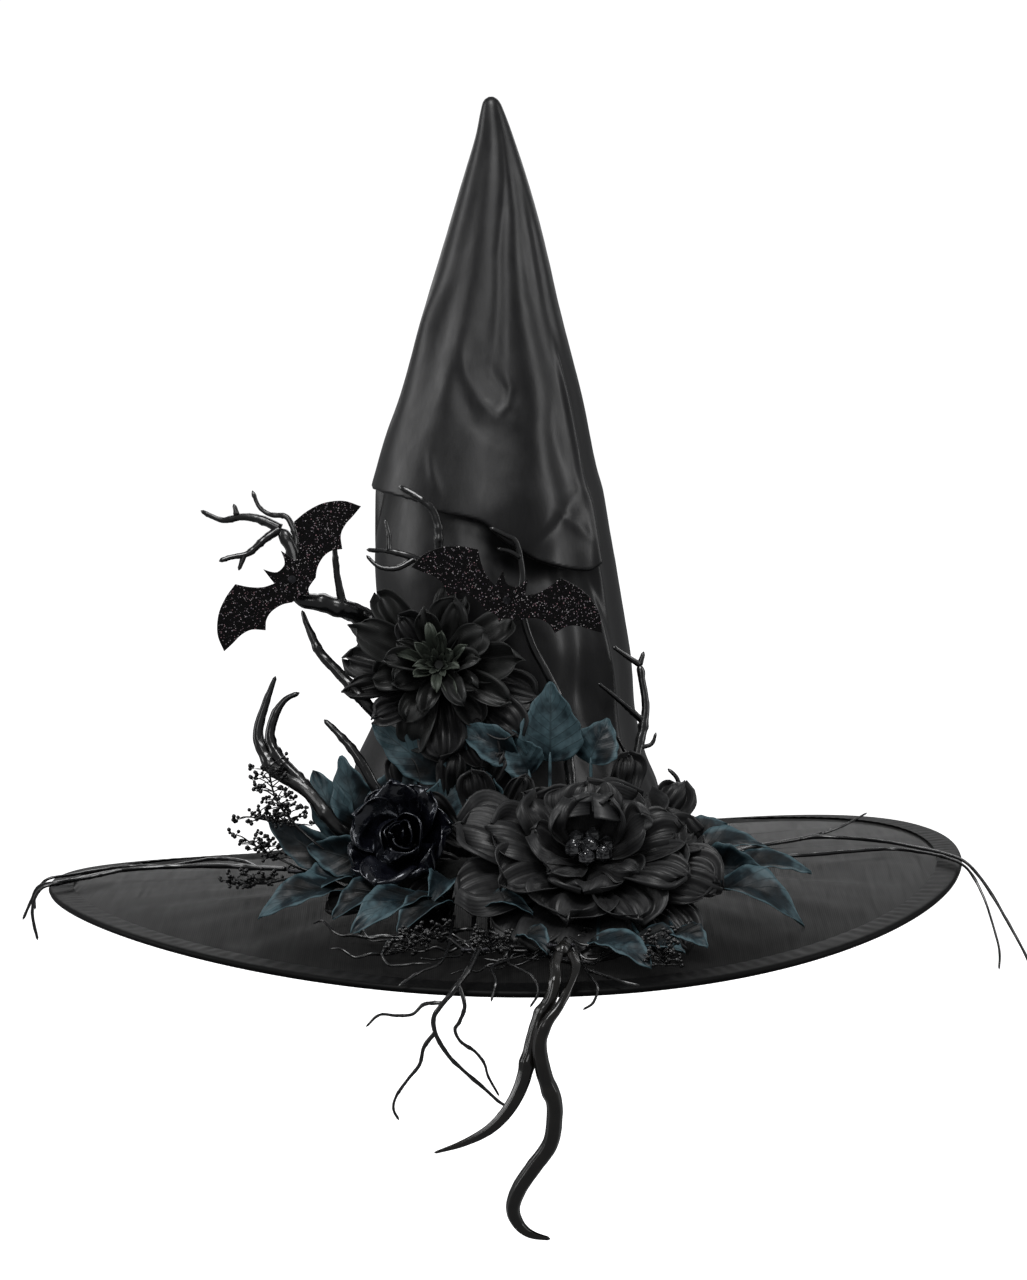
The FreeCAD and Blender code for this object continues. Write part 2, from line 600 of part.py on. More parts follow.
def make_leaves():
    up_front, up = (0, -1, 0.25), (0, -0.35, 1)
    leaf_group("leaves_upper", [
        ((30, -104, 81), (32, -106, 131), 38, up_front, (28, -116, 23)),
        ((54, -102, 79), (68, -96, 103), 22, up_front, (54, -108, 23)),
        ((8, -103, 78), (-8, -97, 109), 20, up_front, (10, -116, 23)),
        ((-35, -102, 70), (-80, -98, 107), 20, up_front, (-34, -112, 23)),
        ((-14, -104, 72), (-42, -98, 99), 16, up_front, (-14, -116, 23))])
    leaf_group("leaves_left", [
        ((-88, -100, 38), (-100, -96, 87), 22, up_front, (-80, -84, 22)),
        ((-98, -100, 34), (-116, -94, 74), 24, up_front, (-90, -82, 20)),
        ((-100, -112, 16), (-147, -98, 46), 20, up_front, (-96, -86, 14)),
        ((-94, -132, 8), (-152, -166, 0), 24, up, (-86, -104, 8))])
    leaf_group("leaves_front", [
        ((-50, -168, 3), (-92, -206, -3), 24, up, (-44, -136, 8)),
        ((-42, -176, 4), (-64, -212, -3), 18, up, (-38, -138, 8)),
        ((10, -234, -7), (22, -254, -11), 12, up, (12, -142, 8)),
        ((52, -243, -11), (84, -270, -17), 20, up, (60, -134, 8))])
    leaf_group("leaves_right", [
        ((132, -124, 8), (192, -118, 11), 24, up, (110, -88, 10)),
        ((128, -144, 2), (178, -168, -5), 26, up, (104, -100, 6)),
        ((122, -104, 26), (169, -94, 22), 18, up, (102, -84, 16)),
        ((98, -228, -8), (118, -246, -12), 16, up, (88, -114, 6))])


# ---------------------------------------------------------------- bats

# Right half of the bat, wing tip to ear to tail, as shares of the span across and up.
BAT_HALF = [
    (0.5, 0.0), (0.44, 0.08), (0.36, 0.137), (0.275, 0.165), (0.218, 0.153), (0.185, 0.105),
    (0.153, 0.056), (0.113, 0.032), (0.081, 0.064), (0.065, 0.113), (0.04, 0.073),
]
BAT_LOWER_HALF = [
    (0.04, -0.089), (0.097, -0.101), (0.145, -0.097), (0.21, -0.073), (0.274, -0.077),
    (0.347, -0.056), (0.42, -0.02),
]


def make_bat(label, centre, roll):
    """Flat bat facing the front, with a hole at its middle."""
    shares = (BAT_HALF + [(-across, up) for across, up in reversed(BAT_HALF)]
              + [(-across, up) for across, up in reversed(BAT_LOWER_HALF)]
              + [(0.0, -0.113)] + BAT_LOWER_HALF)
    body = document.addObject("PartDesign::Body", label)
    body.Label = label
    stand = FreeCAD.Rotation(FreeCAD.Vector(1, 0, 0), 90)
    spin = FreeCAD.Rotation(FreeCAD.Vector(0, 1, 0), -roll)
    body.Placement = FreeCAD.Placement(FreeCAD.Vector(*centre), spin * stand)
    corners = [(formula((across, "bat_span")), formula((up, "bat_span"))) for across, up in shares]
    wings = outline_sketch(body, label + "_outline", "XY_Plane", corners)
    pad = body.newObject("PartDesign::Pad", label + "_sheet")
    pad.Profile = wings
    pad.setExpression("Length", "sizes.bat_thickness")
    pad.Midplane = True
    document.recompute()
    hole = body.newObject("Sketcher::SketchObject", label + "_hole")
    hole.AttachmentSupport = [(origin_plane(body, "XY_Plane"), "")]
    hole.MapMode = "FlatFace"
    hole.addGeometry(Part.Circle(FreeCAD.Vector(0, 0, 0), FreeCAD.Vector(0, 0, 1), 1.0))
    hole.addConstraint(Sketcher.Constraint("Coincident", 0, 3, -1, 1))
    radius = hole.addConstraint(Sketcher.Constraint("Radius", 0, 1.0))
    hole.setExpression("Constraints[%d]" % radius, "sizes.bat_hole_radius")
    pocket = body.newObject("PartDesign::Pocket", label + "_bore")
    pocket.Profile = hole
    pocket.Type = 1
    pocket.Midplane = True
    document.recompute()
    return body


def make_bat_wire(label, centre, route):
    """Wire that carries a bat: it passes through the bat and ends in a knob on each side."""
    x, y, z = centre
    radius = size("bat_wire_radius")
    knob = size("bat_knob_radius")
    gap = 0.4
    half = size("bat_thickness") / 2
    end = FreeCAD.Vector(x, y - half - gap, z)
    last = FreeCAD.Vector(x, y + half + gap + 1.2, z)
    solids = stem(route + [tuple(last)], radius, radius)
    solids.append(Part.makeCylinder(radius, (last - end).Length + 0.6, last, FRONT))
    solids.append(Part.makeCylinder(knob, 1.2, last, FRONT))
    solids.append(Part.makeCylinder(knob, 1.2, end, FRONT))
    return fused_piece(label, solids)


def make_bats():
    make_bat("bat_left", LEFT_BAT_CENTRE, LEFT_BAT_ROLL)
    make_bat_wire("bat_left_wire", LEFT_BAT_CENTRE, [(-124, -86, 197)])
    make_bat("bat_right", RIGHT_BAT_CENTRE, RIGHT_BAT_ROLL)
    make_bat_wire("bat_right_wire", RIGHT_BAT_CENTRE, [(15, -96, 186), (8, -104, 184)])


# ---------------------------------------------------------------- build, test and write

def write_parts():
    """Test every object, then write each named piece."""
    document.recompute()
    for item in document.Objects:
        if "Invalid" in item.State or "Error" in item.State:
            raise RuntimeError("%s failed: %s" % (item.Name, item.State))
    pieces = [item for item in document.Objects
              if item.isDerivedFrom("PartDesign::Body") or item.TypeId == "Part::Feature"]
    for piece in pieces:
        shape = piece.Shape
        if shape.isNull() or not shape.isValid() or shape.Volume <= 0:
            raise RuntimeError("%s has no sound shape" % piece.Label)
    for piece in pieces:
        piece.Shape.exportStep(os.path.join("parts", piece.Label + ".step"))
        print("%-26s %10.0f mm3  %d solid(s)" % (piece.Label, piece.Shape.Volume,
                                                len(piece.Shape.Solids)))


make_crown()
make_foam()
make_brim()
make_peony()
make_dahlia()
make_rose()
make_upper_left_branch()
make_left_branches()
make_crown_branches()
make_right_branches()
make_tendrils()
make_root_vine()
make_brim_vines()
make_rim_curls()
make_hidden_stems()
make_berries()
make_leaves()
make_bats()
write_parts()
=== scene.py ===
import math
import random

import bpy
from mathutils import Matrix, Vector, noise


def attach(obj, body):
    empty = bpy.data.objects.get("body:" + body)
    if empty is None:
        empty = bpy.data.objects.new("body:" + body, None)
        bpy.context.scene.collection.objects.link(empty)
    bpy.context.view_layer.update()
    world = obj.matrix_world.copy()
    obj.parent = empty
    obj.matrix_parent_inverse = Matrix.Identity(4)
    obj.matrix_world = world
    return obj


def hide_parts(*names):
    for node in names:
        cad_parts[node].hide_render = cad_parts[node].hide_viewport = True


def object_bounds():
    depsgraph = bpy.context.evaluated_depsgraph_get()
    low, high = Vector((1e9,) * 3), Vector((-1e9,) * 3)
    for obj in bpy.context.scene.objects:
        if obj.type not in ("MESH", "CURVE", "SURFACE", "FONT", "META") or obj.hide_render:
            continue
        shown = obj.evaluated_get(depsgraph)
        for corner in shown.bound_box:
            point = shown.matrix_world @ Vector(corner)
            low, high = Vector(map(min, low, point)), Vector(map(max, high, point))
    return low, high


# Looks for the witch's hat. Lengths are millimetres in the CAD's own frame (+Z up the crown,
# -Y the front) and become metres where a mesh or a curve is made. Lights, camera distance and
# floor are in metres.
MM = 0.001

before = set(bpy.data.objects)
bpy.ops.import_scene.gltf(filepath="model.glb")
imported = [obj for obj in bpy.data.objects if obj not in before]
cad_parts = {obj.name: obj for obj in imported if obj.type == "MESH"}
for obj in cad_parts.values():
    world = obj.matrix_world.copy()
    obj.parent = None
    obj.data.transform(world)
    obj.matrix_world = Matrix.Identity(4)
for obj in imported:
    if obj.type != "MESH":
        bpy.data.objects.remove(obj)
CAD_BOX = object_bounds()


# ---------------------------------------------------------------- small maths

def clamp(value, low=0.0, high=1.0):
    return max(low, min(high, value))


def smooth(low, high, value):
    """0 below low, 1 above high, and a soft step between."""
    share = clamp((value - low) / (high - low))
    return share * share * (3 - 2 * share)


def bell(distance, width):
    """1 at no distance, falling off softly to 0 past the width."""
    return math.exp(-(distance / width) ** 2)


def mix(start, end, share):
    return start + (end - start) * share


def wobble(x, y, z, size=1.0):
    """Smooth noise from -1 to 1 with features of about one size."""
    return noise.noise(Vector((x / size, y / size, z / size)))


def through(stations, at):
    """Smooth value at a place, from (place, value) stations in order of place."""
    if at <= stations[0][0]:
        return stations[0][1]
    if at >= stations[-1][0]:
        return stations[-1][1]
    index = next(i for i in range(len(stations) - 1) if at <= stations[i + 1][0])
    (a, va), (b, vb) = stations[index], stations[index + 1]
    before = stations[max(index - 1, 0)]
    after = stations[min(index + 2, len(stations) - 1)]
    share = (at - a) / (b - a)
    slope_a = (vb - before[1]) / (b - before[0]) * (b - a)
    slope_b = (after[1] - va) / (after[0] - a) * (b - a)
    square, cube = share ** 2, share ** 3
    return ((2 * cube - 3 * square + 1) * va + (cube - 2 * square + share) * slope_a
            + (3 * square - 2 * cube) * vb + (cube - square) * slope_b)


def smooth_line(route, step):
    """Catmull-Rom line through a route, with points about one step apart."""
    points = [Vector(point) for point in route]
    ends = [2 * points[0] - points[1]] + points + [2 * points[-1] - points[-2]]
    line = []
    for index in range(len(points) - 1):
        before, start, end, after = ends[index:index + 4]
        count = max(2, round((end - start).length / step))
        for part in range(count):
            t = part / count
            line.append(0.5 * (2 * start + (end - before) * t
                               + (2 * before - 5 * start + 4 * end - after) * t * t
                               + (3 * start - before - 3 * end + after) * t ** 3))
    line.append(points[-1])
    return line


def polar(radius, turn, height):
    """Point at a radius and a turn in radians round the Z axis."""
    return radius * math.cos(turn), radius * math.sin(turn), height


def placed(name, data):
    """A new object in the scene."""
    made = bpy.data.objects.new(name, data)
    bpy.context.scene.collection.objects.link(made)
    return made


# ---------------------------------------------------------------- mesh building

STEM_UV_LENGTH = 20.0


class Shape:
    """Points, faces and a (u, v) pair per point, gathered into one mesh."""

    def __init__(self):
        self.points, self.faces, self.uvs = [], [], []

    def grid(self, rows, columns, place, closed=False):
        """Sheet whose point at shares (s, t) of its length and width is place(s, t)."""
        start = len(self.points)
        steps = columns if closed else columns - 1
        for row in range(rows):
            for column in range(columns):
                s, t = row / (rows - 1), column / steps
                self.points.append(Vector(place(s, t)))
                self.uvs.append((t, s))
        self.quads(start, rows, columns, steps)
        return start

    def quads(self, start, rows, columns, steps):
        """Faces between rows of points that were added from start on."""
        for row in range(rows - 1):
            low, high = start + row * columns, start + (row + 1) * columns
            for column in range(steps):
                after = (column + 1) % columns
                self.faces.append((low + column, low + after, high + after, high + column))

    def fan(self, ring, centre, flip=False):
        """Closes a ring of point numbers onto a centre."""
        self.points.append(Vector(centre))
        self.uvs.append((0.5, self.uvs[ring[0]][1]))
        tip = len(self.points) - 1
        for index, point in enumerate(ring):
            after = ring[(index + 1) % len(ring)]
            self.faces.append((after, point, tip) if flip else (point, after, tip))

    def caps(self, start, rows, columns, first, last):
        """Closes both ends of a round sheet onto a first and a last point."""
        end = start + (rows - 1) * columns
        self.fan(range(start, start + columns), first, flip=True)
        self.fan(range(end, end + columns), last)

    def tube(self, route, radii, sides=10, step=2.0, relief=None):
        """Round stem with closed, rounded ends, its radii spread evenly along it.
        relief(share, angle) scales the radius."""
        sizes = [(number / (len(radii) - 1), size) for number, size in enumerate(radii)]
        line = smooth_line(route, step)
        lengths = [0.0]
        for before, after in zip(line, line[1:]):
            lengths.append(lengths[-1] + (after - before).length)
        total = lengths[-1]
        side = None
        start = len(self.points)
        for index, point in enumerate(line):
            along = (line[min(index + 1, len(line) - 1)] - line[max(index - 1, 0)]).normalized()
            if side is None:
                side = along.orthogonal().normalized()
            side = (side - along * side.dot(along)).normalized()
            other = along.cross(side)
            share = lengths[index] / total
            radius = through(sizes, share)
            left = total - lengths[index]
            rounding = radii[-1] * 1.5
            if left < rounding:
                radius *= math.sqrt(max(0.06, 1 - (1 - left / rounding) ** 2))
            for number in range(sides):
                angle = 2 * math.pi * number / sides
                reach = radius * (relief(share, angle) if relief else 1.0)
                self.points.append(point + reach * (math.cos(angle) * side
                                                    + math.sin(angle) * other))
                self.uvs.append((number / sides, lengths[index] / STEM_UV_LENGTH))
        self.quads(start, len(line), sides, sides)
        self.caps(start, len(line), sides, line[0], line[-1])

    def ball(self, centre, radius, across=8, up=6, squeeze=1.0):
        """Round berry or bead."""
        centre = Vector(centre)

        def place(s, t):
            tilt, turn = math.pi * mix(0.06, 0.94, s), 2 * math.pi * t
            return centre + radius * Vector((math.sin(tilt) * math.cos(turn),
                                             math.sin(tilt) * math.sin(turn),
                                             -math.cos(tilt) * squeeze))
        start = self.grid(up, across, place, closed=True)
        pole = Vector((0, 0, radius * squeeze))
        self.caps(start, up, across, centre - pole, centre + pole)

    def piece(self, name, material, body, slot, *nodes, thickness=0.0, flat=False):
        """The finished mesh object: rides on a body and stands for the CAD nodes."""
        mesh = bpy.data.meshes.new(name)
        mesh.from_pydata([point * MM for point in self.points], [], self.faces)
        layer = mesh.uv_layers.new(name="UVMap")
        for loop in mesh.loops:
            layer.data[loop.index].uv = self.uvs[loop.vertex_index]
        mesh.materials.append(material)
        mesh.update()
        if not flat:
            mesh.shade_smooth()
        made = placed(name, mesh)
        if thickness:
            cloth = made.modifiers.new("thickness", "SOLIDIFY")
            cloth.thickness = thickness * MM
            cloth.offset = 0
        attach(made, body)
        if nodes:
            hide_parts(*nodes)
        return made


# ---------------------------------------------------------------- materials

class Paint:
    """A material's node tree, with short ways to add the nodes used here."""

    def __init__(self, name, roughness=0.5, **settings):
        self.material = bpy.data.materials.new(name)
        self.material.use_nodes = True
        self.nodes = self.material.node_tree.nodes
        self.links = self.material.node_tree.links
        self.shader = self.nodes["Principled BSDF"]
        self.shader.inputs["Roughness"].default_value = roughness
        for socket, value in settings.items():
            self.shader.inputs[socket.replace("_", " ")].default_value = value
        self.place = self.nodes.new("ShaderNodeTexCoord")

    def stretched(self, scale, source="Object"):
        mapping = self.nodes.new("ShaderNodeMapping")
        mapping.inputs["Scale"].default_value = scale
        self.links.new(self.place.outputs[source], mapping.inputs["Vector"])
        return mapping.outputs["Vector"]

    def noise(self, scale, detail=4.0, vector=None):
        texture = self.nodes.new("ShaderNodeTexNoise")
        texture.inputs["Scale"].default_value = scale
        texture.inputs["Detail"].default_value = detail
        texture.inputs["Roughness"].default_value = 0.55
        self.links.new(vector or self.place.outputs["Object"], texture.inputs["Vector"])
        return texture.outputs["Fac"]

    def cells(self, scale):
        texture = self.nodes.new("ShaderNodeTexVoronoi")
        texture.inputs["Scale"].default_value = scale
        self.links.new(self.place.outputs["Object"], texture.inputs["Vector"])
        return texture.outputs

    def wave(self, scale, vector, distortion):
        """Bands that follow each other along X."""
        texture = self.nodes.new("ShaderNodeTexWave")
        texture.bands_direction = "X"
        texture.inputs["Scale"].default_value = scale
        texture.inputs["Distortion"].default_value = distortion
        self.links.new(vector, texture.inputs["Vector"])
        return texture.outputs["Fac"]

    def math(self, operation, first, second=None):
        node = self.nodes.new("ShaderNodeMath")
        node.operation = operation
        for socket, value in zip(node.inputs, (first, second)):
            if value is None:
                continue
            if isinstance(value, (int, float)):
                socket.default_value = value
            else:
                self.links.new(value, socket)
        return node.outputs[0]

    def weighted(self, *parts):
        """Sum of (value, weight) parts."""
        part = self.math("MULTIPLY", *parts[0])
        return self.math("ADD", part, self.weighted(*parts[1:])) if parts[1:] else part

    def off_centre(self, value):
        return self.math("ABSOLUTE", self.math("SUBTRACT", value, 0.5))

    def split(self, vector=None):
        """X, Y and Z of a vector, or else of the place on the object."""
        node = self.nodes.new("ShaderNodeSeparateXYZ")
        self.links.new(vector or self.place.outputs["Object"], node.inputs["Vector"])
        return [node.outputs[axis] for axis in "XYZ"]

    def ranged(self, value, low, high, to_low=0.0, to_high=1.0):
        node = self.nodes.new("ShaderNodeMapRange")
        for socket, number in zip(("From Min", "From Max", "To Min", "To Max"),
                                  (low, high, to_low, to_high)):
            node.inputs[socket].default_value = number
        self.links.new(value, node.inputs["Value"])
        return node.outputs["Result"]

    def ramp(self, value, *stops):
        """Colour through (position, (r, g, b)) stops."""
        node = self.nodes.new("ShaderNodeValToRGB")
        elements = node.color_ramp.elements
        while len(elements) < len(stops):
            elements.new(0.5)
        for element, (position, colour) in zip(elements, stops):
            element.position = position
            element.color = (*colour, 1.0)
        self.links.new(value, node.inputs["Fac"])
        return node.outputs["Color"]

    def blend(self, share, first, second):
        node = self.nodes.new("ShaderNodeMix")
        node.data_type = "RGBA"
        self.links.new(share, node.inputs["Factor"])
        self.links.new(first, node.inputs[6])
        self.links.new(second, node.inputs[7])
        return node.outputs[2]

    def colour(self, value):
        self.feed("Base Color", value)

    def feed(self, socket, value):
        """Links a value to one of the shader's sockets."""
        self.links.new(value, self.shader.inputs[socket])

    def scuffed(self, value, smoothest, roughest, low=0.3, high=0.7):
        """Roughness that follows a value between low and high."""
        self.feed("Roughness", self.ranged(value, low, high, smoothest, roughest))

    def relief(self, *layers):
        """Bumps stacked on each other: (height, strength, depth in mm)."""
        normal = None
        for height, strength, depth in layers:
            bump = self.nodes.new("ShaderNodeBump")
            bump.inputs["Strength"].default_value = strength
            bump.inputs["Distance"].default_value = depth * MM
            self.links.new(height, bump.inputs["Height"])
            if normal:
                self.links.new(normal, bump.inputs["Normal"])
            normal = bump.outputs["Normal"]
        self.links.new(normal, self.shader.inputs["Normal"])
        if self.shader.inputs["Coat Weight"].default_value > 0:
            self.links.new(normal, self.shader.inputs["Coat Normal"])


def satin(name, dark, light, roughness=0.37, gloss=0.72):
    """Close satin: long floats that run one way, a soft broad sheen and faint slubs."""
    paint = Paint(name, Specular_IOR_Level=gloss, Sheen_Weight=0.03, Sheen_Roughness=0.35,
                  Anisotropic=0.2)
    threads = paint.noise(900, 2.0, paint.stretched((1, 1, 0.12)))
    slubs = paint.noise(140, 5.0, paint.stretched((1, 1, 0.25)))
    puckers = paint.noise(24, 4.0, paint.stretched((1, 1, 0.6)))
    cloud = paint.noise(11, 3.0)
    paint.colour(paint.ramp(paint.weighted((threads, 0.55), (cloud, 0.45)),
                            (0.3, dark), (0.7, light)))
    paint.scuffed(slubs, roughness - 0.05, roughness + 0.07, 0.25, 0.75)
    paint.relief((puckers, 0.22, 2.0), (slubs, 0.14, 0.4), (threads, 0.2, 0.12))
    return paint.material


def organza():
    """Sheer plain weave: fine threads both ways with a moire, and painted light and shade: more
    see-through at the back, more opaque at the front.
    """
    paint = Paint("brim_organza", 0.6, Specular_IOR_Level=0.05, Sheen_Weight=0.03,
                  Sheen_Roughness=0.5)
    across = paint.wave(260, paint.stretched((1, 0.02, 1)), 1.5)
    moire = paint.noise(60, 3.0, paint.stretched((9, 0.35, 1)))
    streaks = paint.noise(16, 4.0, paint.stretched((5, 0.5, 1)))
    tone = paint.weighted((across, 0.3), (moire, 0.4), (streaks, 0.3))
    paint.colour(paint.ramp(tone, (0.34, (0.0012, 0.0012, 0.0013)),
                            (0.68, (0.0125, 0.0122, 0.012))))
    # Painted light and shade: the see-through share rises towards the back, so the back shows more
    # white and reads lighter while the front stays darker.
    depth = paint.ranged(paint.split()[1], -0.22, 0.16)
    gaps = paint.math("MULTIPLY", paint.ranged(tone, 0.36, 0.68, 0.1, 1.2), depth)
    paint.feed("Alpha", paint.ranged(gaps, 0.0, 1.0, 0.998, 0.885))
    paint.scuffed(streaks, 0.5, 0.7)
    paint.relief((moire, 0.2, 0.15), (across, 0.1, 0.08))
    return paint.material


def petal_cloth(name, dark, light, edge, stripes, stripe_share=0.35):
    """Starched petal cloth with lengthwise fibres; painted shade darkens it towards the heart and a
    painted highlight pales its edge and tip.
    """
    paint = Paint(name, Specular_IOR_Level=0.6, Sheen_Weight=0.04, Sheen_Roughness=0.4)
    across, along, _ = paint.split(paint.stretched((1, 1, 1), "UV"))
    side = paint.off_centre(across)
    # Painted highlight: the petal's edges and tip are made paler, where they catch the light.
    rim = paint.math("MAXIMUM", paint.ranged(side, 0.4, 0.5), paint.ranged(along, 0.86, 1))
    fibres = paint.wave(stripes, paint.stretched((1, 0.08, 1), "UV"), 2.0)
    mottle = paint.noise(130, 5.0)
    creases = paint.noise(55, 3.0)
    weave = paint.noise(1400, 2.0)
    # Painted shade: each petal darkens towards its base, deep in the flower where the petals shade
    # each other.
    heart = paint.ranged(along, 0.1, 0.8)
    tone = paint.weighted((heart, 0.55), (mottle, 0.45 - 0.3 * stripe_share),
                          (fibres, 0.5 * stripe_share))
    body = paint.ramp(tone, (0.2, dark), (0.95, light))
    # tint is the colour of the painted highlight on the edges and tips.
    tint = paint.ramp(mottle, (0.0, edge), (1.0, edge))
    paint.colour(paint.blend(paint.weighted((rim, 0.35)), body, tint))
    paint.scuffed(mottle, 0.39, 0.57)
    paint.relief((creases, 0.4, 2.0), (fibres, 0.25, 0.3), (mottle, 0.25, 0.5), (weave, 0.2, 0.1))
    return paint.material


def leaf_cloth():
    """Dyed velvet leaf with pressed side veins: near black inside, its teal dye lightened by
    painted highlight towards the edge and tip and in the higher leaves."""
    paint = Paint("leaf_velvet", 0.5, Specular_IOR_Level=0.45, Sheen_Weight=0.06,
                  Sheen_Roughness=0.4, Sheen_Tint=(0.55, 0.8, 0.9, 1.0))
    across, along, _ = paint.split(paint.stretched((1, 1, 1), "UV"))
    side = paint.off_centre(across)
    slant = paint.math("SUBTRACT", paint.weighted((along, 9.0)), paint.weighted((side, 5.0)))
    veins = paint.ranged(paint.off_centre(paint.math("FRACT", slant)), 0.0, 0.09, 1.0, 0.0)
    rib = paint.ranged(side, 0.0, 0.03, 1.0, 0.0)
    marks = paint.math("MAXIMUM", veins, rib)
    mottle = paint.noise(95, 6.0)
    nap = paint.noise(1500, 2.0)
    blotch = paint.noise(42, 3.0)
    # Painted highlight: teal lightening towards the leaf's edge and tip.
    edge = paint.math("ADD", paint.ranged(side, 0.34, 0.5, 0.0, 0.3),
                      paint.ranged(along, 0.1, 1.0, 0.0, 0.22))
    # Painted light: leaves set higher on the hat are painted lighter.
    higher_leaves_painted_light = paint.ranged(paint.split()[2], 0.05, 0.10, 0.0, 0.17)
    spread = paint.math("ADD", paint.math("ADD", edge, higher_leaves_painted_light),
                        paint.weighted((mottle, 0.35), (blotch, 0.95)))
    body = paint.ramp(spread, (0.66, (0.001, 0.0016, 0.002)), (0.84, (0.007, 0.018, 0.025)),
                      (1.0, (0.085, 0.15, 0.175)))
    line = paint.ramp(mottle, (0.0, (0.006, 0.012, 0.014)), (1.0, (0.022, 0.036, 0.04)))
    paint.colour(paint.blend(paint.weighted((marks, 0.5)), body, line))
    paint.scuffed(mottle, 0.36, 0.6)
    paint.relief((blotch, 0.5, 3.0), (mottle, 0.4, 1.0), (marks, 0.4, 0.3), (nap, 0.2, 0.1))
    return paint.material


def moulded(name, dark, light, roughness, coat=0.0, grain=260, depth=0.3):
    """Moulded plastic with a bark-like grain, scuffed unevenly."""
    paint = Paint(name, roughness, Coat_Weight=coat, Coat_Roughness=0.16)
    rough = paint.noise(grain, 6.0)
    broad = paint.noise(grain / 7, 3.0)
    lines = paint.wave(3.0, paint.stretched((1, 0.04, 1), "UV"), 3.0)
    paint.colour(paint.ramp(rough, (0.35, dark), (0.75, light)))
    paint.scuffed(broad, roughness - 0.08, roughness + 0.16)
    paint.relief((rough, 0.45, depth), (lines, 0.25, depth))
    return paint.material


def waxed():
    """Dipped wax over black petals: clear gloss, pooled and dimpled, with a blue cast."""
    paint = Paint("rose_wax_skin", 0.2, Coat_Weight=0.8, Coat_Roughness=0.08,
                  Coat_Tint=(0.82, 0.88, 1.0, 1.0), Specular_IOR_Level=0.7)
    pools = paint.noise(90, 4.0)
    pits = paint.noise(700, 3.0)
    paint.colour(paint.ramp(pools, (0.3, (0.002, 0.002, 0.003)), (0.8, (0.010, 0.010, 0.016))))
    paint.scuffed(pools, 0.12, 0.34)
    paint.relief((pools, 0.5, 1.2), (pits, 0.2, 0.15))
    return paint.material


def glitter():
    """Black craft foam under fine flakes, each flake tilted its own way."""
    paint = Paint("bat_glitter", 0.5, Specular_IOR_Level=0.22)
    flakes = paint.cells(1900)
    split = paint.nodes.new("ShaderNodeSeparateColor")
    paint.links.new(flakes["Color"], split.inputs["Color"])
    bright = paint.math("GREATER_THAN", split.outputs["Red"], 0.94)
    tint = paint.ramp(split.outputs["Green"], (0.0, (0.62, 0.36, 0.4)), (0.35, (0.3, 0.25, 0.3)),
                      (0.75, (0.85, 0.8, 0.8)), (1.0, (0.2, 0.16, 0.24)))
    foam = paint.ramp(paint.noise(300), (0.3, (0.001, 0.0008, 0.001)),
                      (0.8, (0.004, 0.003, 0.004)))
    paint.colour(paint.blend(bright, foam, tint))
    paint.feed("Metallic", paint.weighted((bright, 0.55)))
    paint.scuffed(split.outputs["Blue"], 0.2, 0.6, 0.0, 1.0)
    paint.relief((flakes["Distance"], 0.4, 0.2), (split.outputs["Red"], 0.4, 0.25))
    return paint.material


def smoky_crystal():
    """Faceted smoke-coloured acrylic with faint clouds inside."""
    paint = Paint("crystal_smoke", 0.04, Transmission_Weight=0.35, IOR=1.6,
                  Specular_IOR_Level=1.0, Coat_Weight=1.0, Coat_Roughness=0.02)
    cloud = paint.noise(180, 4.0)
    paint.colour(paint.ramp(cloud, (0.35, (0.01, 0.01, 0.012)), (0.8, (0.2, 0.205, 0.22))))
    paint.scuffed(cloud, 0.02, 0.08)
    paint.relief((paint.cells(420)["Distance"], 0.7, 1.2), (cloud, 0.3, 0.8))
    return paint.material


def woven(name, dark, light, ribs, roughness=0.7):
    """Ribbed ribbon or open buckram: ribs one way, threads the other."""
    paint = Paint(name, roughness, Sheen_Weight=0.2)
    x, y, _ = paint.split()
    rib = paint.math("SINE", paint.weighted((paint.math("ARCTAN2", y, x), float(ribs))))
    thread = paint.noise(1200, 2.0)
    paint.colour(paint.ramp(paint.math("ADD", paint.weighted((rib, 0.25)), thread),
                            (0.25, dark), (0.8, light)))
    paint.scuffed(thread, roughness - 0.08, roughness + 0.1)
    paint.relief((rib, 0.3, 0.3), (thread, 0.3, 0.2))
    return paint.material


def drawn_wire():
    """Blued steel wire, lightly tarnished."""
    paint = Paint("wire_blued", 0.35, Metallic=0.8)
    tarnish = paint.noise(400, 5.0)
    paint.colour(paint.ramp(tarnish, (0.35, (0.02, 0.02, 0.023)), (0.75, (0.09, 0.09, 0.1))))
    paint.scuffed(tarnish, 0.25, 0.5)
    paint.relief((tarnish, 0.25, 0.1))
    return paint.material


CROWN_SATIN = satin("crown_satin_cloth", (0.0014, 0.0013, 0.0016), (0.0068, 0.0065, 0.0078))
BINDING_SATIN = satin("binding_satin_cloth", (0.0008, 0.0008, 0.0009), (0.0028, 0.0028, 0.003),
                      0.5, 0.15)
ORGANZA = organza()
